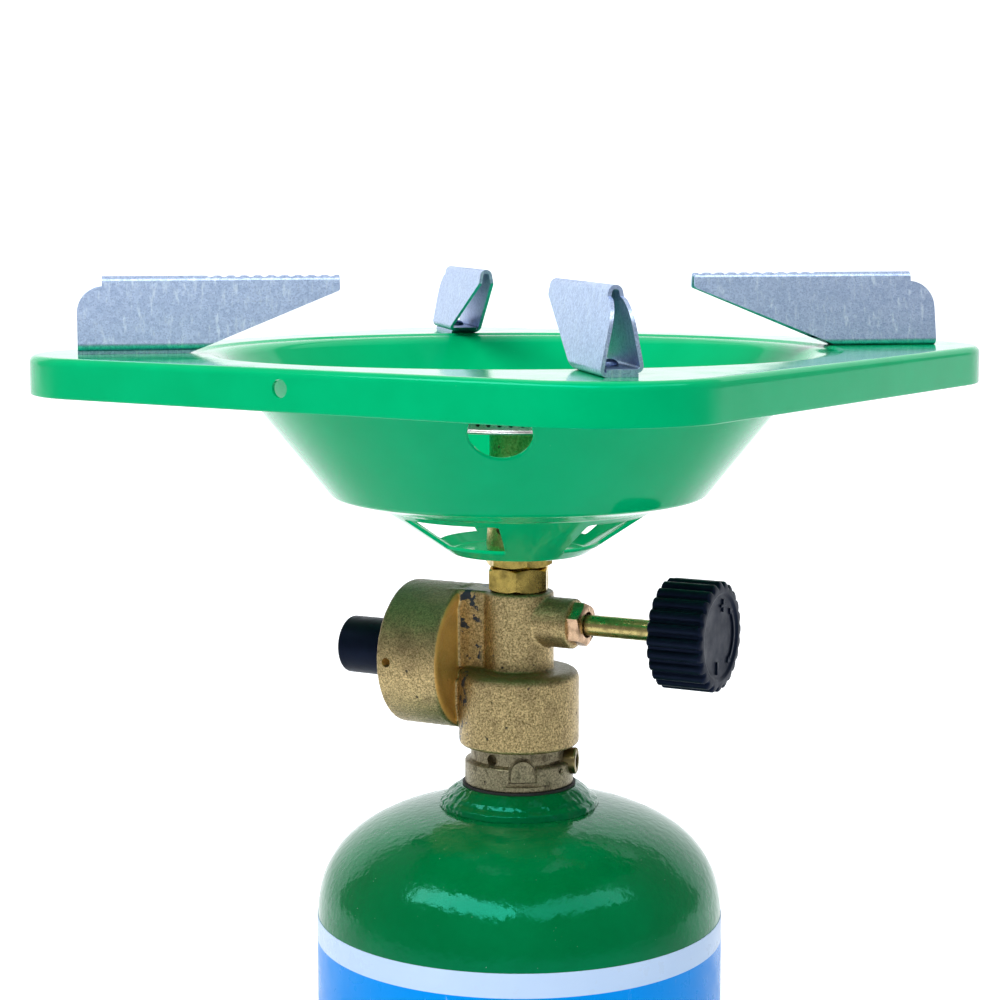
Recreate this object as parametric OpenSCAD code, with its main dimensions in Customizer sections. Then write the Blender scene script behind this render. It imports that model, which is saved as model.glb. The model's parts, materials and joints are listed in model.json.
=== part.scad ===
// Single-burner camping stove on its gas cylinder.
// Frame: origin at the centre of the cylinder's foot, +Z up, +X along the valve spindle
// towards the knob. Every length is in millimetres.

/* [Gas cylinder] */
// Outer diameter of the steel cylinder over its label
cylinder_d = 98.4; // [96:0.2:102]
// Height of the shoulder, where the straight wall turns into the upper dome
shoulder_z = 151; // [120:1:180]
// Height of the upper dome above the shoulder
dome_h = 29.5; // [25:0.5:30]
// Wall thickness of the cylinder
cylinder_t = 1.0; // [0.8:0.1:1.4]
// Height at which the label ends, a little above the shoulder
label_top_z = 153.3; // [100:0.1:153.4]

/* [Cylinder neck] */
// Diameter of the threaded neck
thread_d = 25.3; // [25.1:0.05:25.3]
// Radial running clearance of screwed and turning fits
running_gap = 0.05; // [0.03:0.01:0.08]

/* [Regulator] */
// Radius of the collar that screws onto the neck
collar_r = 14.5; // [14.3:0.1:15]
// Radius of the upright column
column_r = 8.4; // [8.2:0.1:9]
// Radius of the regulator drum
drum_r = 17.6; // [17:0.1:19]
// Length of the regulator drum
drum_len = 15.7; // [15.4:0.1:17]
// Radius of the black cap
cap_r = 7.1; // [6.8:0.1:8]

/* [Control knob] */
// Radius of the knob over its ribs
knob_r = 13; // [11:0.5:15]
// Length of the knob
knob_len = 13.5; // [12:0.5:16]
// Number of ribs
knob_ribs = 24; // [16:2:30]

/* [Burner pan] */
// Length of the pan's side
pan_side = 176.6; // [172:0.2:184]
// Corner radius of the pan
pan_corner_r = 27; // [18:1:34]
// Depth of the pan's skirt
skirt_h = 9; // [7:0.5:11]
// Sheet thickness of the pan
pan_t = 0.8; // [0.6:0.1:1]
// Turn of the pan about the upright axis, from the valve spindle
pan_yaw = -6.3; // [-40:0.1:40]

/* [Pan supports] */
// Height of a support's ridge above the pan
support_h = 17.7; // [15:0.1:20]
// Radius of the inner tip
support_tip_r = 42.6; // [40:0.2:50]
// Sheet thickness of a support
support_t = 0.8; // [0.6:0.1:1]
// Radius of the pivots about the stove's axis
pivot_r = 90; // [89:0.5:91]

/* [Burner] */
// Radius of the burner head
head_r = 20.5; // [18:0.5:24]
// Number of flame ports
port_count = 48; // [36:4:60]

/* [Hidden] */

$fn = 96;
eps = 0.5;                                  // how far a cutter runs past a face

// Colours
enamel = [0.05, 0.62, 0.36];
paint = [0.0, 0.42, 0.22];
cast_brass = [0.66, 0.55, 0.34];
brass = [0.78, 0.64, 0.35];
galvanised = [0.63, 0.67, 0.72];
stainless = [0.72, 0.72, 0.74];
black_plastic = [0.06, 0.07, 0.10];
black_rubber = [0.05, 0.05, 0.05];

// Gas cylinder
shell_r = cylinder_d / 2 - 0.15;            // the label's sleeve lies outside this
label_bottom_z = 42;
base_dome_z = 26;                           // where the straight wall meets the base dome
base_dome_h = 22;
dome_power = 2.6;                           // above 2 the upper dome is fuller than an ellipse
foot_r = 39;
foot_t = 1.2;
weld_r = 18.6;                              // where the weld ring meets the dome
weld_top_z = shoulder_z + 33.7;
neck_seal_h = 0.5;

// Neck, from the weld ring up
neck_z = weld_top_z + neck_seal_h;
neck_flange_r = 13.1;
neck_flange_h = 5.6;
neck_relief_r = 11.6;
thread_z = neck_z + 9.8;
thread_r = thread_d / 2;
neck_top_z = neck_z + 17.8;
neck_bore_r = 6;
core_r = 5;                                 // valve core body
core_z = neck_z - 3;
core_h = 12;
core_pin_r = 1.2;
poppet_z = core_z + core_h - 3.7;           // underside of the valve core's plate
relief_angle = 15.5;
relief_r = 3.2;
relief_reach = 14.3;
relief_z = neck_z + 5.5;
relief_poppet_r = 1.6;

// Regulator body, from the neck up
collar_z = neck_z + 9.4;
collar_h = 18.4;
collar_bore_r = thread_r + running_gap;
seal_z = neck_top_z;
seal_h = 2;
column_z = collar_z + collar_h;
column_h = 18.9;
column_top_z = column_z + column_h;
drum_z = column_z + 1.8;                    // height of the drum's axis
drum_x = 14;                                // distance of the drum's inner face
drum_end = drum_x + drum_len;
chamber_x = drum_x + 4;
shoulder_x = chamber_x + 2.5;               // where the diaphragm's rim lies
plate_x = shoulder_x + 0.8;
chamber_r = 12.5;
drum_bore_r = 15.2;
vent_x = 26.9;
cap_end = drum_end + 17.7;
bonnet_r = 5.5;
bonnet_bore_r = 4.2;
cover_x = drum_end - 1.6;
bonnet_end = cap_end - 4;
spring_end = bonnet_end - 6;                // where the adjusting screw holds the spring

// Valve spindle
spindle_z = column_z + 11.9;
spindle_r = 2.5;
boss_r = 6;
boss_len = 15.2;
seat_x = 5.6;
needle_room_r = 3.5;
gland_x = 10.5;
nut_shank_r = 4.5;
nut_hex_len = 3.2;
knob_x = 39;
spindle_end = knob_x + knob_len - 4;
o_ring_x = 8.4;
o_ring_r = 0.5;
o_ring_path_r = 2.9;

// Hexagons, pan and burner, from the column up
hex_af = 13;
jet_hex_h = 5.9;
lock_nut_z = column_top_z + jet_hex_h + 0.1;
lock_nut_h = 3.2;
shank_r = 4.9;                              // threaded foot of the burner tube
pan_bottom_z = lock_nut_z + lock_nut_h;
bowl_depth = 48.8;
pan_z = pan_bottom_z + bowl_depth;          // upper face of the pan's flange
tube_foot_z = pan_bottom_z + pan_t;
tube_r = 7;
tube_top_z = pan_z - 18.6;
tube_bore_r = 4;
head_h = 6;
head_t = 0.6;

// Pan
half = pan_side / 2;
bowl_mouth_r = 76.5;
wall_tilt = 35.9;                           // bowl wall, from the vertical
port_r = 7.4;                               // lighting port
port_angle = -60;
port_path_r = 59.3;
port_depth = 14.4;
port_panel_angle = 32;                      // share of the bowl's wall that holds the port
window_angle = 52;
window_in_r = 19.1;
window_out_r = 28.7;
hang_hole_r = 1.45;

// Pan supports
ridge_r = 1.5;
fold_tilt = 11;
support_base_in = 78.3;
support_base_out = 102.8;
ridge_out = 97;
ridge_step = 2.3;
base_half = 3.4;
rivet_r = 1.6;
notch_pitch = 3.1;
notch_count = 10;

// --- helpers ---------------------------------------------------------------

// A circle's points from angle a0 to a1, as [x, y] pairs about (cx, cy)
function arc(cx, cy, r, a0, a1, steps = 6) =
    [for (i = [0:steps]) let (a = a0 + (a1 - a0) * i / steps) [cx + r * cos(a), cy + r * sin(a)]];

// A quarter of an ellipse of half-axes a and b, from its end on x to its end on y.
// A power above 2 makes it fuller.
function dome(a, b, z0, sign = 1, from = 0, to = 90, power = 2, steps = 14) =
    [for (i = [0:steps]) let (t = from + (to - from) * i / steps)
        [a * pow(cos(t), 2 / power), z0 + sign * b * pow(sin(t), 2 / power)]];

// The reversed list
function back(list) = [for (i = [len(list) - 1:-1:0]) list[i]];

// Unit normal to the right of the step from p to q
function normal(p, q) = let (d = q - p, n = norm(d)) [d[1] / n, -d[0] / n];

// A path moved sideways by d, with mitred corners
function beside(p, d) = [for (i = [0:len(p) - 1])
    let (a = normal(p[max(i - 1, 0)], p[max(i, 1)]),
         b = normal(p[min(i, len(p) - 2)], p[min(i + 1, len(p) - 1)]),
         m = (a + b) / (1 + a * b))
    p[i] + d * m];

// Points of one ring of a coil's wire, 8 to the ring
function wire_ring(r, wire, z, a) = [for (k = [0:7])
    let (w = 45 * k, q = r + wire * cos(w)) [q * cos(a), q * sin(a), z + wire * sin(w)]];

// Children with their own +Z turned to +X, at height z
module along_x(z) {
    translate([0, 0, z]) rotate([0, 90, 0]) children();
}

// Children with their own +Z turned to -X, at height z
module along_minus_x(z) {
    translate([0, 0, z]) rotate([0, -90, 0]) children();
}

// A tube from z0 to z1
module tube(r_out, r_in, z0, z1) {
    translate([0, 0, z0]) difference() {
        cylinder(r = r_out, h = z1 - z0);
        translate([0, 0, -eps]) cylinder(r = r_in, h = z1 - z0 + 2 * eps);
    }
}

// A hexagonal prism across flats af, its corners chamfered by a cone at each marked end
module hexagon(af, z0, h, chamfer_low = false, chamfer_high = true) {
    r = af / 2 / cos(30);
    drop = 0.9;
    intersection() {
        translate([0, 0, z0]) cylinder(r = r, h = h, $fn = 6);
        rotate_extrude() polygon(concat(
            [[0, z0]],
            chamfer_low ? [[af / 2 - 0.1, z0], [r + 0.1, z0 + drop / 2]] : [[r + 0.1, z0]],
            chamfer_high ? [[r + 0.1, z0 + h - drop / 2], [af / 2 - 0.1, z0 + h]] : [[r + 0.1, z0 + h]],
            [[0, z0 + h]]));
    }
}

// A closed coil spring of the given mean radius and wire radius
module coil(r, wire, z0, z1, turns) {
    steps = turns * 12;
    rings = [for (i = [0:steps])
        wire_ring(r, wire, z0 + wire + (z1 - z0 - 2 * wire) * i / steps, 360 * turns * i / steps)];
    points = [for (ring = rings) each ring];
    sides = [for (i = [0:steps - 1], k = [0:7])
        let (n = (k + 1) % 8) [8 * i + k, 8 * i + n, 8 * i + 8 + n, 8 * i + 8 + k]];
    first = [for (k = [7:-1:0]) k];
    last = [for (k = [0:7]) 8 * steps + k];
    polyhedron(points = points, faces = [for (f = concat([first], sides, [last])) back(f)]);
}

// --- gas cylinder ----------------------------------------------------------

// Height of the base dome's outside at radius r
function base_dome_at(r) = base_dome_z - base_dome_h * sqrt(1 - pow(r / shell_r, 2));

module foot_ring() {
    inner_r = foot_r - foot_t;
    gap = 0.1;
    color(paint) rotate_extrude() polygon([
        [inner_r, 0], [foot_r, 0], [foot_r, base_dome_at(foot_r) - gap],
        [inner_r, base_dome_at(inner_r) - gap]]);
}

module gas_cylinder() {
    outer = concat(dome(shell_r, base_dome_h, base_dome_z, -1, 90, 0),
                   dome(shell_r, dome_h, shoulder_z, 1, 0, 72, dome_power));
    inner = [for (p = beside(outer, -cylinder_t)) [max(p[0], 0), p[1]]];
    neck_hole_r = core_r + 2;
    color(paint) difference() {
        rotate_extrude() polygon(concat(
            [[0, outer[0][1]]], outer, [[neck_hole_r, outer[len(outer) - 1][1] + 0.8]],
            [[neck_hole_r, inner[len(inner) - 1][1]]], back(inner)));
        translate([0, 0, shoulder_z]) cylinder(r = neck_hole_r, h = 2 * dome_h);
    }
}

module weld_ring() {
    dome_z = shoulder_z + dome_h * pow(1 - pow(weld_r / shell_r, dome_power), 1 / dome_power);
    hole_r = core_r + 4.2;
    color(paint) rotate_extrude() polygon([
        [hole_r, shoulder_z + dome_h + 1.2], [14.6, shoulder_z + dome_h + 0.2], [weld_r - 0.3, dome_z + 0.9],
        [weld_r + 0.2, dome_z + 0.6], [17.7, weld_top_z - 3.1], [16.2, weld_top_z - 1.6],
        [14.9, weld_top_z - 0.4], [14.2, weld_top_z], [hole_r, weld_top_z]]);
}

module cylinder_label() {
    color("white") tube(cylinder_d / 2, shell_r, label_bottom_z,
                        min(label_top_z, shoulder_z + 2.3));
}

module neck_seal() {
    color(black_rubber) tube(neck_flange_r + 0.6, core_r + 4.2, weld_top_z, neck_z);
}

module cylinder_neck() {
    foot_z = core_z;
    color(cast_brass) difference() {
        rotate_extrude() polygon([
            [core_r, foot_z], [core_r + 4.2, foot_z], [core_r + 4.2, neck_z], [neck_flange_r - 0.3, neck_z],
            [neck_flange_r, neck_z + 0.3], [neck_flange_r, neck_z + neck_flange_h - 0.5],
            [neck_relief_r, neck_z + neck_flange_h], [neck_relief_r, thread_z - 0.6],
            [thread_r, thread_z], [thread_r, neck_top_z - 0.8], [thread_r - 0.8, neck_top_z],
            [neck_bore_r, neck_top_z], [neck_bore_r, core_z + core_h], [core_r, core_z + core_h]]);
        rotate([0, 0, relief_angle]) along_x(relief_z) {
            translate([0, 0, 9.5]) cylinder(r = relief_r, h = 10);
            cylinder(r = 0.8, h = 12);
        }
    }
}

module relief_valve_body() {
    color(brass) rotate([0, 0, relief_angle]) along_x(relief_z) rotate_extrude() polygon([
        [0.8, 9.5], [relief_r, 9.5], [relief_r, relief_reach - 0.4], [relief_r - 0.4, relief_reach],
        [relief_poppet_r + running_gap, relief_reach], [relief_poppet_r + running_gap, 10.4], [0.8, 10.4]]);
}

module relief_valve_poppet() {
    color(black_rubber) rotate([0, 0, relief_angle]) along_x(relief_z)
        translate([0, 0, 10.6]) cylinder(r = relief_poppet_r, h = relief_reach - 10.6 - 0.6);
}

module valve_core_body() {
    color(brass) translate([0, 0, core_z]) rotate_extrude() polygon([
        [1, 0], [core_r, 0], [core_r, core_h], [core_pin_r + 0.6, core_h], [core_pin_r + 0.6, core_h - 2],
        [4, core_h - 2], [4, 1.2], [1, 1.2]]);
}

module valve_core_pin() {
    color(brass) union() {
        translate([0, 0, poppet_z - 2.6]) cylinder(r = core_pin_r, h = neck_top_z - 4.3 - poppet_z + 2.6);
        translate([0, 0, poppet_z]) cylinder(r = 3.2, h = 1);
    }
}

module valve_core_seal() {
    color(black_rubber) tube(3.1, core_pin_r, poppet_z + 1, core_z + core_h - 2.05);
}

module valve_core_spring() {
    color(stainless) coil(2.3, 0.3, core_z + 1.25, poppet_z - 0.05, 6);
}

// --- regulator and valve body ----------------------------------------------

module inlet_seal() {
    color(black_rubber) tube(thread_r - 0.6, 4, seal_z, seal_z + seal_h);
}

module inlet_probe() {
    color(brass) translate([0, 0, seal_z]) rotate_extrude() polygon([
        [1, -4.2], [2.4, -4.2], [3, -3.4], [3, seal_h + 6], [1, seal_h + 6]]);
}

module collar() {
    translate([0, 0, collar_z]) rotate_extrude() polygon(concat(
        [[0, 0], [collar_r - 0.8, 0], [collar_r, 0.8]],
        arc(collar_r - 2.2, collar_h - 2.2, 2.2, 0, 90), [[0, collar_h]]));
}

module regulator_body() {
    seal_top = seal_z + seal_h;
    block_w = 11;
    color(cast_brass) difference() {
        union() {
            collar();
            translate([0, 0, column_z - 1]) cylinder(r = column_r, h = column_h + 1);
            along_x(spindle_z) cylinder(r = boss_r, h = boss_len);
            translate([-drum_x - 1, -block_w / 2, drum_z - 2])
                cube([drum_x + 1, block_w, column_top_z - drum_z + 1]);
            translate([-drum_x - 1, -0.9, drum_z - 14]) cube([drum_x, 1.8, 14]);
            along_minus_x(drum_z) translate([0, 0, drum_x]) rotate_extrude() polygon(concat(
                [[0, 1.8], [drum_r - 3.5, 1.8], [drum_r - 2.2, 0]],
                arc(drum_r - 0.8, 0.8, 0.8, -90, 0, 3),
                [[drum_r, drum_len - 0.5], [drum_r - 0.5, drum_len], [0, drum_len]]));
        }
        // socket for the neck, the seal and the probe
        translate([0, 0, collar_z - eps]) cylinder(r = collar_bore_r, h = seal_top - collar_z + eps);
        translate([0, 0, seal_top - eps]) cylinder(r = 3, h = 6 + eps);
        translate([0, 0, seal_top]) cylinder(r = 1.5, h = drum_z - seal_top);
        // drum chamber, the diaphragm's bore, the pin's passage and the vent
        along_minus_x(drum_z) {
            translate([0, 0, -6.6]) cylinder(r = 1.5, h = chamber_x + 6.6 + eps);
            translate([0, 0, chamber_x]) cylinder(r = chamber_r, h = drum_len);
            translate([0, 0, shoulder_x]) cylinder(r = drum_bore_r, h = drum_len);
        }
        translate([-vent_x, 0, drum_z]) rotate([90, 0, 0]) cylinder(r = 1.1, h = drum_r + eps);
        // passage to the needle's room, its seat, the gland and the jet
        translate([6.6, 0, drum_z]) cylinder(r = 1, h = spindle_z - drum_z - 1);
        along_x(spindle_z) {
            cylinder(r = 1.1, h = seat_x + eps);
            translate([0, 0, seat_x]) cylinder(r = needle_room_r, h = boss_len);
            translate([0, 0, gland_x]) cylinder(r = nut_shank_r, h = boss_len);
        }
        translate([0, 0, spindle_z]) cylinder(r = 1.1, h = column_h);
        translate([0, 0, column_top_z - 5]) cylinder(r = 4.5, h = 5 + eps);
    }
}

module diaphragm() {
    color(black_rubber) along_minus_x(drum_z) tube(drum_bore_r - 0.1, 1, shoulder_x, shoulder_x + 0.8);
}

module diaphragm_ring() {
    color(brass) along_minus_x(drum_z)
        tube(drum_bore_r - 0.02, chamber_r + 0.6, shoulder_x + 0.8, vent_x - 1.5);
}

module diaphragm_plate() {
    color(galvanised) along_minus_x(drum_z) tube(9, 1, plate_x, plate_x + 0.8);
}

module regulator_pin() {
    color(stainless) along_minus_x(drum_z) union() {
        translate([0, 0, 7]) cylinder(r = 1, h = plate_x + 1.6 - 7);
        translate([0, 0, 5.6]) cylinder(r = 1.35, h = 1.4);
        translate([0, 0, plate_x + 0.8]) cylinder(r = 2, h = 0.8);
    }
}

module regulator_spring() {
    color(stainless) along_minus_x(drum_z) coil(3.2, 0.45, plate_x + 0.85, spring_end - 0.05, 7);
}

module regulator_cover() {
    color(brass) along_minus_x(drum_z) rotate_extrude() polygon([
        [bonnet_bore_r, cover_x - 1], [drum_bore_r - 0.02, cover_x - 1], [drum_bore_r - 0.02, drum_end - 0.6],
        [bonnet_r, drum_end - 0.6], [bonnet_r, bonnet_end], [bonnet_bore_r, bonnet_end]]);
}

module adjusting_screw() {
    color(brass) along_minus_x(drum_z) difference() {
        translate([0, 0, spring_end]) cylinder(r = bonnet_bore_r - 0.02, h = 4);
        translate([-5, -0.5, spring_end + 2.8]) cube([10, 1, 2]);
    }
}

module regulator_cap() {
    color(black_plastic) along_minus_x(drum_z) rotate_extrude() polygon(concat(
        [[bonnet_r + 0.02, drum_end - 0.6], [cap_r - 0.3, drum_end - 0.6], [cap_r, drum_end]],
        arc(cap_r - 0.8, cap_end - 0.8, 0.8, 0, 90, 3),
        [[0, cap_end], [0, cap_end - 2.5], [bonnet_r + 0.02, cap_end - 2.5]]));
}

// --- valve spindle and knob ------------------------------------------------

module gland_packing() {
    color("white") along_x(spindle_z)
        tube(nut_shank_r - 0.02, spindle_r + running_gap, gland_x, gland_x + 1.6);
}

module gland_nut() {
    color(brass) along_x(spindle_z) difference() {
        union() {
            translate([0, 0, gland_x + 1.6]) cylinder(r = nut_shank_r, h = boss_len - gland_x - 1.6);
            rotate([0, 0, 8]) hexagon(10, boss_len, nut_hex_len);
        }
        translate([0, 0, gland_x]) cylinder(r = spindle_r + running_gap, h = 12);
        translate([0, 0, boss_len + nut_hex_len - 0.5])
            cylinder(r1 = spindle_r + running_gap, r2 = spindle_r + 0.8, h = 0.51);
    }
}

module valve_spindle() {
    groove = 0.65;
    color(brass) along_x(spindle_z) difference() {
        rotate_extrude() polygon([
            [0, 4.9], [0.45, 4.9], [2.4, 7.5], [spindle_r, 7.6], [spindle_r, o_ring_x - groove],
            [2.35, o_ring_x - groove], [2.35, o_ring_x + groove], [spindle_r, o_ring_x + groove],
            [spindle_r, spindle_end - 0.5], [spindle_r - 0.5, spindle_end], [0, spindle_end]]);
        // flat for the knob's insert
        translate([1.8, -5, knob_x + 1]) cube([5, 10, 30]);
    }
}

module spindle_o_ring() {
    color(black_rubber) along_x(spindle_z) translate([0, 0, o_ring_x])
        rotate_extrude() translate([o_ring_path_r, 0]) circle(r = o_ring_r, $fn = 24);
}

module control_knob() {
    rib_r = 0.95;
    core = knob_r - rib_r;
    color(black_plastic) along_x(spindle_z) difference() {
        union() {
            translate([0, 0, knob_x]) cylinder(r = core, h = knob_len);
            for (i = [0:knob_ribs - 1]) rotate([0, 0, 360 * (i + 0.5) / knob_ribs])
                translate([core, 0, knob_x + 0.3]) cylinder(r = rib_r, h = knob_len - 0.6, $fn = 24);
        }
        // shallow recess in the face, hollow back around the hub, and the insert's bore
        translate([0, 0, knob_x + knob_len - 0.5]) cylinder(r = 10, h = 1);
        translate([0, 0, knob_x - eps]) difference() {
            cylinder(r = core - 1.6, h = knob_len - 3);
            cylinder(r = 6, h = knob_len);
        }
        translate([0, 0, knob_x - eps]) cylinder(r = 4, h = knob_len - 3.5 + eps);
    }
}

module knob_insert() {
    color(brass) along_x(spindle_z) difference() {
        translate([0, 0, knob_x]) cylinder(r = 4, h = knob_len - 3.5);
        difference() {
            translate([0, 0, knob_x - eps]) cylinder(r = spindle_r, h = knob_len - 3.5);
            translate([1.8, -5, knob_x + 1]) cube([5, 10, 30]);
        }
    }
}

// --- burner ----------------------------------------------------------------

module jet_holder() {
    hex_turn = 19;
    color(brass) difference() {
        union() {
            translate([0, 0, column_top_z - 4.4]) cylinder(r = 4.48, h = 5);
            rotate([0, 0, hex_turn]) hexagon(hex_af, column_top_z, jet_hex_h, true, true);
            translate([0, 0, column_top_z + jet_hex_h - 1]) cylinder(r = 3.4, h = 6);
        }
        translate([0, 0, column_top_z - 5]) cylinder(r = 1.6, h = 20);
    }
}

module jet() {
    jet_z = column_top_z + jet_hex_h + 5;
    color(brass) difference() {
        union() {
            translate([0, 0, jet_z - 3]) cylinder(r = 1.58, h = 3);
            translate([0, 0, jet_z]) cylinder(r = 2.6, h = 2.4, $fn = 6);
        }
        translate([0, 0, jet_z - 3.5]) cylinder(r = 0.8, h = 5);
        translate([0, 0, jet_z]) cylinder(r = 0.25, h = 5);
    }
}

module lock_nut() {
    color(brass) difference() {
        rotate([0, 0, 44]) hexagon(hex_af, lock_nut_z, lock_nut_h, true, false);
        translate([0, 0, lock_nut_z - eps]) cylinder(r = shank_r, h = lock_nut_h + 2 * eps);
    }
}

module burner_tube() {
    air_z = tube_foot_z + 6;
    color(brass) difference() {
        rotate_extrude() polygon([
            [tube_bore_r, lock_nut_z], [shank_r, lock_nut_z], [shank_r, tube_foot_z], [7.6, tube_foot_z],
            [7.8, tube_foot_z + 1], [tube_r, tube_foot_z + 12], [tube_r, tube_top_z],
            [tube_bore_r, tube_top_z]]);
        for (a = [0:90:270]) rotate([0, 0, a + pan_yaw])
            translate([0, 0, air_z]) rotate([0, 90, 0]) cylinder(r = 1.8, h = 12);
    }
}

module burner_head() {
    color(stainless) difference() {
        translate([0, 0, tube_top_z]) rotate_extrude() polygon([
            [tube_bore_r, 0], [head_r + 1.6, 0], [head_r + 1.6, head_t], [head_r, head_t],
            [head_r, head_h], [head_r - head_t, head_h], [head_r - head_t, head_t], [tube_bore_r, head_t]]);
        for (i = [0:port_count - 1]) rotate([0, 0, 360 * i / port_count])
            translate([head_r - 2, 0, tube_top_z + 2.1]) rotate([0, 90, 0]) cylinder(r = 0.55, h = 3, $fn = 16);
    }
}

module burner_cap() {
    color(stainless) translate([0, 0, tube_top_z + head_h]) rotate_extrude() polygon([
        [0, 0.8], [8, 0.6], [head_r - 2, 0], [head_r + 0.8, 0], [head_r + 0.8, head_t],
        [head_r - 1.6, head_t], [8, 1.2], [0, 1.4]]);
}

// --- burner pan ------------------------------------------------------------

// A square plate with round corners
module rounded_plate(half_side, r, z0, h) {
    inner = half_side - r;
    translate([0, 0, z0]) linear_extrude(height = h) union() {
        square([2 * half_side, 2 * inner], center = true);
        square([2 * inner, 2 * half_side], center = true);
        for (x = [-inner, inner], y = [-inner, inner]) translate([x, y]) circle(r = r);
    }
}

// Underside of the bowl as [radius, height under the flange's upper face]
bowl_path = concat(
    [[shank_r + 0.1, -bowl_depth], [15, -bowl_depth], [16.2, -bowl_depth + 0.25], [17.2, -bowl_depth + 0.85]],
    [[29.2, -38.6], [31.6, -37.5], [43.2, -34.9], [44.8, -34.3], [45.9, -33.0]],
    arc(74.2, -pan_t - 0.5 - 6.2, 6.2, 180 - wall_tilt, 90),
    [[75.4, -pan_t - 0.5], [bowl_mouth_r, -pan_t], [bowl_mouth_r + 2, -pan_t]]);

// How many of bowl_path's points belong to the cup at its bottom
cup_points = 6;

// The sheet between two points of the bowl's path, turned through an angle from `from`
module bowl_sheet(first, last, from = 0, angle = 360) {
    upper = beside(bowl_path, -pan_t);
    under_side = [for (i = [first:last]) bowl_path[i]];
    upper_side = [for (i = [first:last]) upper[i]];
    rotate([0, 0, from]) rotate_extrude(angle = angle) polygon(concat(under_side, back(upper_side)));
}

// Children in the pan's own frame: on its axis, at the height of its flange, turned with it
module on_pan() {
    translate([0, 0, pan_z]) rotate([0, 0, pan_yaw]) children();
}

module pan_flange() {
    rim_r = bowl_path[len(bowl_path) - 1][0];
    color(enamel) on_pan() difference() {
        rounded_plate(half, pan_corner_r, -skirt_h, skirt_h);
        rounded_plate(half - pan_t, pan_corner_r - pan_t, -skirt_h - eps, skirt_h + eps - pan_t);
        translate([0, 0, -skirt_h]) cylinder(r = rim_r, h = 2 * skirt_h);
        // hang hole and rivet holes
        translate([0, -half, -2.75]) rotate([90, 0, 0]) cylinder(r = hang_hole_r, h = 8, center = true);
        for (a = [45:90:315]) rotate([0, 0, a]) translate([pivot_r, 0, -2]) cylinder(r = rivet_r, h = 4);
    }
}

module pan_bowl() {
    color(enamel) on_pan() bowl_sheet(cup_points - 1, len(bowl_path) - 1,
                                      port_angle + port_panel_angle / 2, 360 - port_panel_angle);
}

module pan_port_panel() {
    color(enamel) on_pan() difference() {
        bowl_sheet(cup_points - 1, len(bowl_path) - 1, port_angle - port_panel_angle / 2, port_panel_angle);
        rotate([0, 0, port_angle]) translate([port_path_r, 0, -port_depth])
            rotate([0, 90 + wall_tilt, 0]) cylinder(r = port_r, h = 12, center = true);
    }
}

module pan_cup() {
    color(enamel) on_pan() difference() {
        bowl_sheet(0, cup_points - 1);
        for (a = [0:90:270]) rotate([0, 0, a - window_angle / 2])
            rotate_extrude(angle = window_angle) translate([window_in_r, -bowl_depth])
                square([window_out_r - window_in_r, bowl_depth / 2]);
    }
}

module support_rivets() {
    color(galvanised) on_pan()
        for (a = [45:90:315]) rotate([0, 0, a]) translate([pivot_r, 0, 0]) rotate_extrude() polygon(concat(
            [[0, -pan_t - 0.9], [2.6, -pan_t - 0.9], [2.6, -pan_t], [rivet_r, -pan_t],
             [rivet_r, 2 * support_t + 0.05], [2.3, 2 * support_t + 0.05]],
            [for (t = [0:15:90]) [2.3 * cos(t), 2 * support_t + 0.3 + 1.0 * sin(t)]]));
}

// Side view of a support: radius against height above the pan
module support_outline() {
    corner = 6.2;
    shelf = support_h - ridge_step;
    polygon(concat(
        [[support_base_in, 0], [support_base_out, 0]],
        arc(support_base_out - corner, shelf - corner, corner, 0, 90),
        [[ridge_out, shelf], [ridge_out, support_h], [support_tip_r, support_h],
         [support_tip_r, support_h - 3.8]]));
}

// Folded section of a support: round ridge, two leaning walls, two flanges that overlap
module support_section() {
    centre = support_h - ridge_r;
    leg = centre / cos(fold_tilt) + 3;
    foot = ridge_r / cos(fold_tilt) + centre * tan(fold_tilt);
    intersection() {
        union() {
            translate([0, centre]) difference() {
                circle(r = ridge_r, $fn = 48);
                circle(r = ridge_r - support_t, $fn = 48);
                translate([-3, -6]) square([6, 6]);
            }
            for (s = [-1, 1]) translate([0, centre]) rotate(s * fold_tilt)
                translate([s > 0 ? ridge_r - support_t : -ridge_r, -leg]) square([support_t, leg]);
            translate([-foot + 0.3, 0]) square([base_half + foot - 0.3, support_t]);
            translate([-base_half, support_t]) square([base_half + foot - 0.3, support_t]);
        }
        translate([-10, 0]) square([20, support_h]);
    }
}

module pan_support(index) {
    color(galvanised) on_pan() rotate([0, 0, 90 * index - 45]) difference() {
        intersection() {
            translate([support_tip_r - 1, 0, 0]) rotate([90, 0, 90])
                linear_extrude(height = support_base_out - support_tip_r + 2) support_section();
            translate([0, 10, 0]) rotate([90, 0, 0]) linear_extrude(height = 20) support_outline();
        }
        translate([pivot_r, 0, -eps]) cylinder(r = rivet_r + running_gap, h = 3);
        for (i = [0:notch_count - 1])
            translate([support_tip_r + 1.8 + notch_pitch * i, 0, support_h + 0.8])
                rotate([90, 0, 0]) cylinder(r = 1.2, h = 8, center = true, $fn = 24);
    }
}

// --- parts -----------------------------------------------------------------

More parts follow.
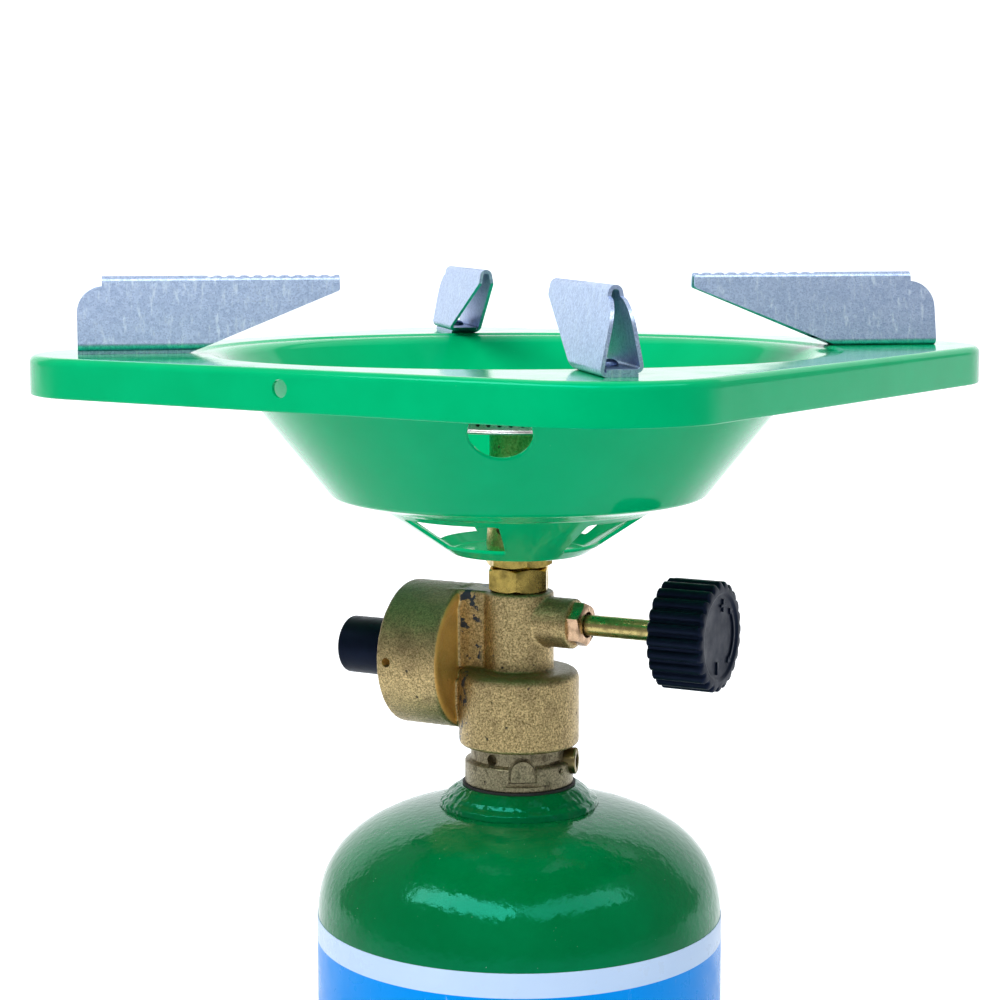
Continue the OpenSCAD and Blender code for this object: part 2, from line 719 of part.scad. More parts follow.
foot_ring();
gas_cylinder();
weld_ring();
cylinder_label();
neck_seal();
cylinder_neck();
relief_valve_body();
relief_valve_poppet();
valve_core_body();
valve_core_pin();
valve_core_seal();
valve_core_spring();
inlet_seal();
inlet_probe();
regulator_body();
diaphragm();
diaphragm_ring();
diaphragm_plate();
regulator_pin();
regulator_spring();
regulator_cover();
adjusting_screw();
regulator_cap();
gland_packing();
gland_nut();
valve_spindle();
spindle_o_ring();
control_knob();
knob_insert();
jet_holder();
jet();
lock_nut();
burner_tube();
burner_head();
burner_cap();
pan_flange();
pan_bowl();
pan_port_panel();
pan_cup();
support_rivets();
pan_support(1);  // pan_support_1
pan_support(2);  // pan_support_2
pan_support(3);  // pan_support_3
pan_support(4);  // pan_support_4
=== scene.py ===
import json
from math import cos, pi, radians, sin, sqrt, tan

import bmesh
import bpy
import numpy as np
from mathutils import Matrix, Vector, noise


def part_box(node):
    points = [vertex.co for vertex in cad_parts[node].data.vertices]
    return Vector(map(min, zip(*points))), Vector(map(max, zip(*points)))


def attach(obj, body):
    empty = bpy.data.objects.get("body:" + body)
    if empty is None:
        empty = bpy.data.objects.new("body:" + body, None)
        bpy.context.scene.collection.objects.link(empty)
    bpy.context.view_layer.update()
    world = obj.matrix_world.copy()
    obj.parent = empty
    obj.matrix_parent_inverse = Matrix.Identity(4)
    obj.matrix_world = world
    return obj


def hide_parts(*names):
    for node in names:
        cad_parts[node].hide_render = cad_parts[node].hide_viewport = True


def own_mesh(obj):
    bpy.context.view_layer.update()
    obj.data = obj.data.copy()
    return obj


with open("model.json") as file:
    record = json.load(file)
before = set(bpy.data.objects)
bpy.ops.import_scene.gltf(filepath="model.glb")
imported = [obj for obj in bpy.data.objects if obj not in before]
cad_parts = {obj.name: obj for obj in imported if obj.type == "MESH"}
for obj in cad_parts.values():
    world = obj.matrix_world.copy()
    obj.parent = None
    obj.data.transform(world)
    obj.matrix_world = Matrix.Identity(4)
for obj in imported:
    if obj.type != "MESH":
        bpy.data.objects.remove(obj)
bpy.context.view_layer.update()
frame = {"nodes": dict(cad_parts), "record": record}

MM = 0.001
SCENE = bpy.context.scene
ALONG_X = Matrix.Rotation(pi / 2, 4, "Y")           # own +Z to +X
ALONG_MINUS_X = Matrix.Rotation(-pi / 2, 4, "Y")    # own +Z to -X
UPRIGHT = Matrix.Rotation(pi / 2, 4, "X")           # own +Y to +Z


def about_z(angle):
    return Matrix.Rotation(angle, 4, "Z")


def moved(x, y, z):
    return Matrix.Translation((x, y, z))


def span(node):
    """Lowest and highest corner of a CAD node, in millimetres."""
    low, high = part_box(node)
    return low / MM, high / MM


PAN_Z = span("pan_flange")[1].z                     # upper face of the pan's flange
PAN_BOTTOM_Z = span("pan_cup")[0].z
PAN_YAW = radians(-6.3)
COLUMN_TOP_Z = span("jet_holder")[1].z - 11.0 + 0.1
NECK_LOW, NECK_HIGH = span("cylinder_neck")
NECK_Z = span("neck_seal")[1].z
SPINDLE_Z = sum(corner.z for corner in span("valve_spindle")) / 2
CAP_LOW, CAP_HIGH = span("regulator_cap")
DRUM_Z = (CAP_LOW.z + CAP_HIGH.z) / 2
BODY_LOW = span("regulator_body")[0]
COLLAR_TOP_Z = BODY_LOW.z + 18.4
KNOB_LOW, KNOB_HIGH = span("control_knob")
ON_PAN = moved(0, 0, PAN_Z) @ about_z(PAN_YAW)
ON_SPINDLE = moved(0, 0, SPINDLE_Z) @ ALONG_X
ON_DRUM = moved(0, 0, DRUM_Z) @ ALONG_MINUS_X


# --- mesh helpers -----------------------------------------------------------

def rounded(corners, steps=5, closed=True):
    """The outline through (x, y) or (x, y, radius) corners, each rounded to its radius."""
    count = len(corners)
    points = []
    for i, corner in enumerate(corners):
        here = np.array(corner[:2], float)
        radius = corner[2] if len(corner) > 2 else 0
        if radius == 0 or (not closed and i in (0, count - 1)):
            points.append(here)
            continue
        before = np.array(corners[i - 1][:2], float) - here
        after = np.array(corners[(i + 1) % count][:2], float) - here
        room = 0.499 * min(np.linalg.norm(before), np.linalg.norm(after))
        before /= np.linalg.norm(before)
        after /= np.linalg.norm(after)
        half = np.arccos(np.clip(before @ after, -1, 1)) / 2
        reach = min(radius / tan(half), room)
        middle = before + after
        centre = here + middle / np.linalg.norm(middle) * reach / cos(half)
        start = here + before * reach - centre
        end = here + after * reach - centre
        turn = pi - 2 * half
        for k in range(steps + 1):
            share = k / steps
            points.append(centre + (start * sin((1 - share) * turn) + end * sin(share * turn)) / sin(turn))
    return np.array(points)


def densify(points, step):
    """The closed outline with its long stretches divided to at most step."""
    out = []
    for a, b in zip(points, np.roll(points, -1, axis=0)):
        parts = max(1, int(np.ceil(np.linalg.norm(b - a) / step)))
        out += [a + (b - a) * k / parts for k in range(parts)]
    return np.array(out)


def offset(path, distance):
    """An open path moved to its left by distance."""
    path = np.asarray(path, float)
    step = np.gradient(path, axis=0)
    step /= np.linalg.norm(step, axis=1)[:, None]
    return path + distance * np.column_stack([-step[:, 1], step[:, 0]])


def rectangle(x_low, x_high, y_low, y_high, *radius):
    """The four corners, anticlockwise, each with the given radius if there is one."""
    corners = ((x_low, y_low), (x_high, y_low), (x_high, y_high), (x_low, y_high))
    return [(*corner, *radius) for corner in corners]


def on_circle(angles, radius=1.0):
    return np.column_stack([radius * np.cos(angles), radius * np.sin(angles)])


def at_height(outline, z):
    return np.column_stack([outline, np.full(len(outline), z)])


def in_scene(name, data):
    """A new object of this data, in the scene."""
    obj = bpy.data.objects.new(name, data)
    SCENE.collection.objects.link(obj)
    return obj


def solid(verts, faces):
    """An object of these points and faces, its doubles merged and its normals outward."""
    mesh = bpy.data.meshes.new("solid")
    mesh.from_pydata([tuple(v) for v in verts], [], faces)
    obj = in_scene("solid", mesh)
    edit = bmesh.new()
    edit.from_mesh(mesh)
    bmesh.ops.remove_doubles(edit, verts=edit.verts, dist=1e-4)
    bmesh.ops.delete(edit, geom=[e for e in edit.edges if not e.link_faces], context="EDGES")
    bmesh.ops.recalc_face_normals(edit, faces=edit.faces)
    bmesh.ops.triangulate(edit, faces=[f for f in edit.faces if len(f.verts) > 4])
    edit.to_mesh(mesh)
    edit.free()
    return obj


def loft(loops, closed=False):
    """Faces between loops of equal count. Closed joins the last to the first; else the ends are capped."""
    loops = np.asarray(loops, float)
    rows, count = loops.shape[:2]
    faces = []
    for k in range(rows if closed else rows - 1):
        a, b = k * count, (k + 1) % rows * count
        faces += [(a + i, a + (i + 1) % count, b + (i + 1) % count, b + i) for i in range(count)]
    if not closed:
        faces += [tuple(range(count))[::-1], tuple(range((rows - 1) * count, rows * count))]
    return solid(loops.reshape(-1, 3), faces)


def turned(outline, segments=96):
    """A closed (radius, height) outline turned about Z."""
    angles = np.linspace(0, 2 * pi, segments, endpoint=False)
    return loft([at_height(on_circle(angles, r), z) for r, z in outline], closed=True)


def rod(radius, low, high, segments, bore=0):
    """A plain cylinder along Z, or a sleeve if it has a bore."""
    return turned(rectangle(bore, radius, low, high), segments)


def prism(outline, low, high):
    """A flat (x, y) outline raised from low to high."""
    return loft([at_height(outline, z) for z in (low, high)])


def tube_along(path, radius, sides=10):
    """A closed tube round a closed path."""
    path = np.asarray(path, float)
    forward = np.roll(path, -1, axis=0) - np.roll(path, 1, axis=0)
    forward /= np.linalg.norm(forward, axis=1)[:, None]
    across = np.cross(forward, (0, 0, 1.0))
    across /= np.linalg.norm(across, axis=1)[:, None]
    up = np.cross(across, forward)
    turns = [2 * pi * k / sides for k in range(sides)]
    loops = [[p + radius * (cos(t) * a + sin(t) * u) for t in turns] for p, a, u in zip(path, across, up)]
    return loft(loops, closed=True)


def place(obj, matrix):
    obj.data.transform(matrix)
    return obj


def copy_of(obj, matrix):
    return place(in_scene(obj.name, obj.data.copy()), matrix)


def apply_modifiers(obj):
    graph = bpy.context.evaluated_depsgraph_get()
    made = bpy.data.meshes.new_from_object(obj.evaluated_get(graph))
    obj.modifiers.clear()
    obj.data = made
    return obj


def combine(obj, tools, operation="DIFFERENCE", solver="EXACT"):
    """obj cut by, joined to or kept within each tool in turn."""
    for tool in tools if isinstance(tools, list) else [tools]:
        step = obj.modifiers.new("combine", "BOOLEAN")
        step.operation = operation
        step.object = tool
        step.solver = solver
        apply_modifiers(obj)
        bpy.data.objects.remove(tool)
    return obj


def merged(objects):
    """Several objects' meshes in one object, for one cut."""
    edit = bmesh.new()
    for obj in objects:
        edit.from_mesh(obj.data)
        bpy.data.objects.remove(obj)
    mesh = bpy.data.meshes.new("merged")
    edit.to_mesh(mesh)
    edit.free()
    return in_scene("merged", mesh)


def soften(obj, width, segments=2, angle=35):
    """Every edge sharper than angle is bevelled."""
    step = obj.modifiers.new("soften", "BEVEL")
    step.width = width
    step.segments = segments
    step.limit_method = "ANGLE"
    step.angle_limit = radians(angle)
    return apply_modifiers(obj)


def roughen(obj, height, size, seed):
    """Moves each point along its normal by smooth noise, for cast and welded surfaces."""
    shift = Vector((seed, 2 * seed, 3 * seed))
    mesh = obj.data
    normals = [v.normal.copy() for v in mesh.vertices]
    for vertex, normal in zip(mesh.vertices, normals):
        vertex.co += normal * height * noise.noise(vertex.co / size + shift)
    return obj


def piece(obj, name, body, look, replaced=(), sharp=35):
    """Finishes a shape as a piece of the stove: metres, shading, material, body, CAD nodes."""
    obj.name = obj.data.name = name
    obj.data.transform(Matrix.Scale(MM, 4))
    obj.data.materials.clear()
    obj.data.materials.append(look)
    obj.data.shade_smooth()
    obj.data.set_sharp_from_angle(angle=radians(sharp))
    even = obj.modifiers.new("even", "WEIGHTED_NORMAL")
    even.keep_sharp = True
    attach(obj, body)
    if replaced:
        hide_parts(*replaced)
    return obj


# --- materials --------------------------------------------------------------

class Look:
    """A material's nodes, with short calls for what the finishes share. Sizes are in millimetres."""

    def __init__(self, name, colour, roughness=0.5, metallic=0.0, **sockets):
        self.material = bpy.data.materials.new(name)
        self.material.use_nodes = True
        self.tree = self.material.node_tree
        self.shader = self.tree.nodes["Principled BSDF"]
        self.shader.inputs["Base Color"].default_value = (*colour, 1)
        self.shader.inputs["Roughness"].default_value = roughness
        self.shader.inputs["Metallic"].default_value = metallic
        for socket, value in sockets.items():
            self.shader.inputs[socket.replace("_", " ")].default_value = value
        where = self.node("TexCoord")
        self.where = where.outputs["Object"]
        self.facing = where.outputs["Normal"]
        self.relief = None

    def node(self, kind, inputs=None, **settings):
        made = self.tree.nodes.new("ShaderNode" + kind)
        for key, value in settings.items():
            setattr(made, key, value)
        for socket, value in (inputs or {}).items():
            if isinstance(value, bpy.types.NodeSocket):
                self.tree.links.new(value, made.inputs[socket])
            else:
                made.inputs[socket].default_value = value
        return made

    def grid(self, stretch):
        if stretch == (1, 1, 1):
            return self.where
        return self.node("Mapping", {"Vector": self.where, "Scale": stretch}).outputs[0]

    def noise(self, size, detail=3.0, rough=0.55, stretch=(1, 1, 1)):
        values = {"Vector": self.grid(stretch), "Scale": 1 / (size * MM), "Detail": detail,
                  "Roughness": rough}
        return self.node("TexNoise", values).outputs[0]

    def cells(self, size, output="Distance", stretch=(1, 1, 1), feature="F1"):
        values = {"Vector": self.grid(stretch), "Scale": 1 / (size * MM)}
        return self.node("TexVoronoi", values, feature=feature).outputs[output]

    def remap(self, value, low, high, to_low=0.0, to_high=1.0):
        values = {"Value": value, "From Min": low, "From Max": high, "To Min": to_low, "To Max": to_high}
        return self.node("MapRange", values).outputs[0]

    def math(self, operation, a, b=0.0):
        return self.node("Math", {0: a, 1: b}, operation=operation).outputs[0]

    def times(self, a, b):
        return self.math("MULTIPLY", a, b)

    def axis(self, vector, letter):
        return self.node("SeparateXYZ", {0: vector}).outputs[letter]

    def blend(self, factor, a, b):
        ends = {6: a if isinstance(a, bpy.types.NodeSocket) else (*a, 1),
                7: b if isinstance(b, bpy.types.NodeSocket) else (*b, 1)}
        return self.node("Mix", {0: factor, **ends}, data_type="RGBA").outputs[2]

    def link(self, value, socket):
        self.tree.links.new(value, self.shader.inputs[socket])

    def colour(self, value):
        self.link(value, "Base Color")

    def rough(self, value):
        self.link(value, "Roughness")

    def bump(self, height, depth, strength=1.0):
        """Relief of this depth in millimetres, on top of any given before."""
        values = {"Height": height, "Distance": depth * MM, "Strength": strength}
        if self.relief:
            values["Normal"] = self.relief
        self.relief = self.node("Bump", values).outputs[0]
        self.link(self.relief, "Normal")


def enamel_look():
    look = Look("pan_enamel", (0.0, 0.4, 0.13), 0.22, Specular_IOR_Level=0.34,
                Specular_Tint=(0.0, 0.8, 0.8, 1))
    patches = look.remap(look.noise(14), 0.3, 0.7)
    tone = look.blend(patches, (0.0, 0.41, 0.145), (0.0, 0.45, 0.165))
    specks = look.remap(look.cells(2.6), 0.05, 0.035)
    chosen = look.remap(look.noise(6), 0.62, 0.68)
    look.colour(look.blend(look.times(specks, chosen), tone, (0.12, 0.5, 0.28)))
    look.rough(look.remap(look.noise(9, 5), 0.3, 0.7, 0.06, 0.15))
    look.bump(look.noise(5, 2), 0.012)
    look.bump(look.noise(0.5, 2), 0.001)
    return look.material


def paint_look():
    look = Look("cylinder_paint", (0.0, 0.12, 0.03), 0.25, Specular_IOR_Level=0.5,
                Specular_Tint=(0.05, 0.75, 0.62, 1))
    tone = look.blend(look.remap(look.noise(18), 0.3, 0.7), (0.0, 0.118, 0.028), (0.0, 0.155, 0.043))
    dust = look.remap(look.cells(1.3), 0.075, 0.05)
    dust = look.times(dust, look.remap(look.noise(7, 4), 0.54, 0.66))
    tone = look.blend(look.times(dust, 0.65), tone, (0.55, 0.7, 0.62))
    look.colour(tone)
    look.rough(look.math("ADD", look.remap(look.noise(5, 5), 0.3, 0.7, 0.07, 0.19), look.times(dust, 0.4)))
    look.bump(look.noise(1.8, 2, 0.4), 0.1)
    look.bump(look.noise(0.6, 2), 0.008)
    look.bump(dust, 0.02)
    return look.material


def label_look(top_z):
    look = Look("label", (0.5, 0.68, 0.93), 0.3, Specular_IOR_Level=0.4, Specular_Tint=(0.02, 0.4, 1, 1))
    height = look.axis(look.where, "Z")
    band_z = (top_z - 5.7) * MM
    lower_z = (top_z - 101) * MM
    edge = 0.05 * MM
    white = look.blend(look.noise(20), (0.5, 0.65, 0.9), (0.6, 0.75, 0.97))
    sky = look.blend(look.noise(30), (0.0, 0.25, 0.8), (0.0, 0.3, 0.88))
    tone = look.blend(look.remap(height, band_z, band_z - edge), white, sky)
    tone = look.blend(look.remap(height, lower_z, lower_z - edge), tone, white)
    scuffs = look.remap(look.noise(1.2, 6, 0.7, (1, 1, 0.15)), 0.64, 0.72)
    look.colour(look.blend(look.times(scuffs, 0.35), tone, (0.72, 0.8, 0.9)))
    look.rough(look.remap(look.noise(6, 4), 0.3, 0.7, 0.24, 0.38))
    look.bump(look.noise(4, 2), 0.03)
    return look.material


def brass_grain(look, light, dark, grain):
    """Sand-cast grain: glinting and dull grains, brown stains, pits."""
    grains = look.remap(look.noise(grain, 3, 0.7), 0.36, 0.66)
    tone = look.blend(grains, dark, light)
    stains = look.remap(look.noise(5, 5, 0.6), 0.5, 0.72)
    tone = look.blend(look.times(stains, 0.5), tone, (0.13, 0.085, 0.04))
    pits = look.remap(look.cells(2.4), 0.17, 0.1)
    pits = look.times(pits, look.remap(look.noise(3.1, 2), 0.56, 0.62))
    tone = look.blend(look.times(pits, 0.85), tone, (0.03, 0.02, 0.02))
    look.bump(look.noise(grain, 3, 0.7), 0.12, 0.9)
    look.bump(pits, -0.15)
    return tone, grains, pits


def cast_look():
    look = Look("cast_brass", (0.4, 0.3, 0.15), 0.4, 0.85)
    tone, grains, pits = brass_grain(look, (0.78, 0.59, 0.29), (0.22, 0.165, 0.07), 0.45)
    # painted shade: upward faces are painted a darker brown, standing in for the dark reflection of the pan
    # above them
    upward = look.remap(look.axis(look.facing, "Z"), 0.1, 0.85)
    tone = look.blend(look.times(upward, 0.7), tone, (0.13, 0.095, 0.05))
    # the collar's shoulder is smooth and ochre
    height = look.axis(look.where, "Z")
    shoulder = look.times(look.remap(height, (COLLAR_TOP_Z - 2) * MM, (COLLAR_TOP_Z - 1) * MM),
                         look.remap(height, (COLLAR_TOP_Z + 1.2) * MM, (COLLAR_TOP_Z + 0.4) * MM))
    shoulder = look.times(shoulder, upward)
    tone = look.blend(look.times(shoulder, 0.8), tone, (0.16, 0.11, 0.03))
    # the drum's inner face and the hollow beside it are smooth and lie in shade; they are painted a bright
    # orange, a painted warm bounce light, and made less metallic
    position_x = look.axis(look.where, "X")
    inner = look.times(look.remap(look.axis(look.facing, "X"), 0.5, 0.8),
                      look.remap(position_x, -8 * MM, -11 * MM))
    tone = look.blend(look.times(inner, 0.85), tone, (0.9, 0.5, 0.12))
    # blue-black paint chips on the block between the drum and the column
    band = look.times(look.remap(position_x, -13.2 * MM, -12.8 * MM),
                      look.remap(position_x, -7 * MM, -8 * MM))
    chips = look.times(band, look.remap(look.noise(3.4, 4, 0.6), 0.55, 0.565))
    tone = look.blend(chips, tone, (0.018, 0.03, 0.05))
    look.colour(tone)
    spread = look.remap(grains, 0, 1, 0.5, 0.28)
    look.rough(look.math("ADD", spread, look.times(pits, 0.3)))
    # chips and pits are duller metal; the painted bounce light and the painted shade on upward faces are also
    # made less metallic
    dull = look.math("MAXIMUM", look.math("MAXIMUM", chips, pits), look.times(inner, 0.6))
    dull = look.math("MAXIMUM", dull, look.times(upward, 0.75))
    look.link(look.remap(dull, 0, 1, 0.85, 0.15), "Metallic")
    return look.material


def neck_look():
    look = Look("neck_brass", (0.35, 0.3, 0.2), 0.45, 0.8)
    tone = brass_grain(look, (0.46, 0.4, 0.25), (0.15, 0.13, 0.08), 0.45)[0]
    grime = look.remap(look.noise(2.5, 5, 0.65), 0.52, 0.68)
    look.colour(look.blend(look.times(grime, 0.45), tone, (0.07, 0.06, 0.045)))
    look.rough(look.remap(grime, 0, 1, 0.38, 0.65))
    return look.material


def machined_look(name, light, dark, axis_stretch=(1, 1, 6), roughness=0.24):
    look = Look(name, light, roughness, 1.0)
    tarnish = look.remap(look.noise(2.6, 5, 0.65), 0.42, 0.7)
    tone = look.blend(look.times(tarnish, 0.7), light, dark)
    lines = look.noise(0.9, 4, 0.6, axis_stretch)
    look.colour(tone)
    look.rough(look.remap(look.math("ADD", tarnish, lines), 0.3, 1.6, roughness * 0.7, roughness + 0.25))
    look.bump(lines, 0.012)
    return look.material


def sandy_tube_look():
    look = Look("sandy_brass", (0.62, 0.48, 0.2), 0.35, 0.95)
    tone, grains, _ = brass_grain(look, (0.8, 0.62, 0.26), (0.42, 0.31, 0.11), 0.7)
    look.colour(tone)
    look.rough(look.remap(grains, 0, 1, 0.45, 0.25))
    return look.material


def galvanised_look():
    look = Look("galvanised_steel", (0.5, 0.6, 0.76), 0.36, 0.95)
    flake = look.axis(look.cells(0.7, "Color"), "X")
    fine = look.axis(look.cells(0.3, "Color"), "Y")
    tone = look.blend(flake, (0.44, 0.56, 0.8), (0.58, 0.71, 0.96))
    tone = look.blend(look.times(look.remap(fine, 0.5, 0.9), 0.6), tone, (0.27, 0.37, 0.6))
    streaks = look.remap(look.noise(1.0, 5, 0.7, (1, 1, 0.12)), 0.54, 0.66)
    tone = look.blend(look.times(streaks, 0.5), tone, (0.8, 0.9, 1.0))
    scratches = look.remap(look.noise(0.7, 5, 0.7, (0.2, 0.2, 1)), 0.68, 0.74)
    look.colour(look.blend(look.times(scratches, 0.5), tone, (0.14, 0.17, 0.24)))
    look.rough(look.remap(look.math("ADD", fine, streaks), 0, 2, 0.36, 0.5))
    look.bump(fine, 0.006)
    look.bump(look.noise(9, 2), 0.03)
    return look.material


def stainless_look():
    look = Look("stainless_steel", (0.6, 0.6, 0.62), 0.3, 1.0)
    heat = look.remap(look.noise(8, 4), 0.45, 0.7)
    tone = look.blend(look.times(heat, 0.5), (0.62, 0.62, 0.64), (0.42, 0.33, 0.24))
    look.colour(tone)
    look.rough(look.remap(look.noise(0.6, 4, 0.6, (1, 1, 5)), 0.3, 0.7, 0.22, 0.42))
    look.bump(look.noise(0.5, 3, 0.6, (1, 1, 5)), 0.01)
    return look.material


def black_look():
    look = Look("black_plastic", (0.004, 0.006, 0.011), 0.42, Specular_IOR_Level=0.2,
                Specular_Tint=(0.22, 0.34, 0.85, 1))
    dust = look.remap(look.cells(1.1), 0.08, 0.05)
    dust = look.times(dust, look.remap(look.noise(4, 4), 0.55, 0.65))
    rub = look.remap(look.node("NewGeometry").outputs["Pointiness"], 0.53, 0.6)
    rub = look.times(rub, look.remap(look.noise(2, 4), 0.4, 0.6))
    tone = look.blend(look.noise(5, 4), (0.002, 0.004, 0.008), (0.006, 0.01, 0.022))
    tone = look.blend(look.times(rub, 0.5), tone, (0.03, 0.035, 0.055))
    look.colour(look.blend(look.times(dust, 0.5), tone, (0.25, 0.28, 0.33)))
    look.rough(look.remap(look.noise(3, 5), 0.3, 0.7, 0.34, 0.5))
    look.bump(look.noise(0.35, 3), 0.02)
    return look.material


def dull_look(name, dark, light, roughness=0.6, **sockets):
    """Rubber or white plastic: mottled, with a fine grain."""
    look = Look(name, dark, roughness, **sockets)
    look.colour(look.blend(look.remap(look.noise(2, 4), 0.3, 0.7), dark, light))
    look.rough(look.remap(look.noise(1.5, 4), 0.3, 0.7, roughness - 0.1, roughness + 0.1))
    look.bump(look.noise(0.3, 3), 0.02)
    return look.material


LABEL_TOP_Z = span("cylinder_label")[1].z
ENAMEL = enamel_look()
PAINT = paint_look()
LABEL = label_look(LABEL_TOP_Z)
CAST = cast_look()
NECK = neck_look()
BRASS = machined_look("machined_brass", (0.62, 0.5, 0.2), (0.2, 0.15, 0.06))
NUT_BRASS = machined_look("nut_brass", (0.68, 0.5, 0.13), (0.09, 0.065, 0.02), (1, 1, 1), 0.22)
GLAND_BRASS = machined_look("gland_brass", (0.7, 0.47, 0.3), (0.2, 0.12, 0.07), (1, 1, 1), 0.3)
DULL_BRASS = machined_look("dull_brass", (0.3, 0.24, 0.11), (0.08, 0.065, 0.04), (1, 1, 1), 0.36)
SANDY = sandy_tube_look()
GALVANISED = galvanised_look()
STAINLESS = stainless_look()
BLACK = black_look()
RUBBER = dull_look("black_rubber", (0.012, 0.012, 0.013), (0.024, 0.024, 0.026), 0.7)
WHITE = dull_look("white_plastic", (0.78, 0.78, 0.74), (0.88, 0.88, 0.85), 0.45)
SLOT_LOOKS = {"cylinder_paint": PAINT, "label": LABEL, "pan_enamel": ENAMEL, "cast_brass": CAST,
              "machined_brass": BRASS, "galvanised_steel": GALVANISED, "stainless_steel": STAINLESS,
              "black_plastic": BLACK, "black_rubber": RUBBER, "white_plastic": WHITE}


# --- gas cylinder -----------------------------------------------------------

SHELL_R = span("gas_cylinder")[1].x
SHOULDER_Z = LABEL_TOP_Z - 2.3
DOME_H = 29.5
DOME_POWER = 2.6                                    # fuller than an ellipse
BASE_DOME_Z = 26.0
BASE_DOME_H = 22.0


def dome_z(radius):
    """Height of the upper dome's outside."""
    return SHOULDER_Z + DOME_H * max(0.0, 1 - (radius / SHELL_R) ** DOME_POWER) ** (1 / DOME_POWER)


def shell_radius(z):
    """Radius of the shell's outside at a height on the wall or the upper dome."""
    return SHELL_R * (1 - max(0.0, (z - SHOULDER_Z) / DOME_H) ** DOME_POWER) ** (1 / DOME_POWER)


def base_dome_z(radius):
    return BASE_DOME_Z - BASE_DOME_H * sqrt(max(0.0, 1 - (radius / SHELL_R) ** 2))


def make_cylinder():
    """The drawn shell, with the shallow joint line where its two halves are welded."""
    hole_r = 7.2
    angles = np.linspace(0, pi / 2, 40)
    below = [(SHELL_R * sin(a), BASE_DOME_Z - BASE_DOME_H * cos(a)) for a in angles]
    above = [(SHELL_R * cos(a), dome_z(SHELL_R * cos(a))) for a in angles if SHELL_R * cos(a) > hole_r]
    bead = [(SHELL_R + 0.12 * sin(t) ** 2, 36 + 1.2 * t / pi) for t in np.linspace(0, pi, 7)]
    inside = [(hole_r, dome_z(hole_r)), (hole_r, dome_z(hole_r) - 1.2), (0, dome_z(hole_r) - 1.2)]
    shell = turned(below + bead + above + inside, 192)
    piece(shell, "cylinder_shell", "cylinder", PAINT, ["gas_cylinder"])


def make_foot_ring():
    """The foot: a rolled lower edge, a short spot-welded skirt under the base dome."""
    outer_r, thick = 39.0, 1.2
    inner_r = outer_r - thick
    outline = rounded([(inner_r, 0, 0.55), (outer_r, 0, 0.55), (outer_r, base_dome_z(outer_r) - 0.05),
                       (inner_r, base_dome_z(inner_r) - 0.05)])
    ring = turned(outline, 144)
    piece(ring, "foot_skirt", "cylinder", PAINT, ["foot_ring"])


def make_label():
    """A glued sleeve that follows the shell up on to the dome, with its overlap at the back."""
    thick, lap, low_z = 0.15, 0.12, 42.0
    count = 240
    heights = [low_z, low_z + 0.2, *np.linspace(low_z + 12, SHOULDER_Z - 6, 8),
               *np.linspace(SHOULDER_Z, LABEL_TOP_Z, 5)]
    angles = np.linspace(0, 2 * pi, count, endpoint=False)
    # the overlap is a strip 7 mm wide, centred behind the stove
    seam = np.exp(-((np.degrees(angles) - 118) / 4.2) ** 8)

    def ring(z, extra):
        radius = shell_radius(z) + extra * (thick + lap * seam)
        return at_height(on_circle(angles, radius), z)

    loops = [ring(z, 1) for z in heights] + [ring(z, 0.05) for z in reversed(heights)]
    piece(loft(loops, closed=True), "label_sleeve", "cylinder", LABEL, ["cylinder_label"])


def make_weld_ring():
    """The rough weld between the dome and the neck."""
    top_z = span("weld_ring")[1].z
    foot_r, top_r, hole_r = 18.9, 14.2, 9.3
    outline = rounded([
        (hole_r, dome_z(hole_r) - 0.6), (14.6, dome_z(14.6) - 0.6), (foot_r, dome_z(foot_r) - 0.5),
        (foot_r + 0.3, dome_z(foot_r + 0.3) + 0.1), (foot_r, top_z - 3.7, 0.7), (17.6, top_z - 2.9, 0.5),
        (16.9, top_z - 2.0, 0.5), (14.9, top_z - 0.4, 0.6), (top_r, top_z, 0.2), (hole_r, top_z)], 6)
    ring = turned(densify(outline, 0.5), 300)
    for vertex in ring.data.vertices:
        spot, radius = vertex.co, vertex.co.xy.length
        if radius > top_r and spot.z > dome_z(radius) + 0.05:
            # the side away from the knob was welded more roughly
            rough = 0.35 + 0.65 * max(0.0, -spot.x / radius)
            lump = 0.35 * noise.noise(spot / 3.6) + 0.4 * rough * noise.noise(spot / 1.0 + Vector((5, 5, 5)))
            vertex.co.xy *= 1 + min(lump, 0.3) / radius
    piece(ring, "weld_bead", "cylinder", PAINT, ["weld_ring"], 60)


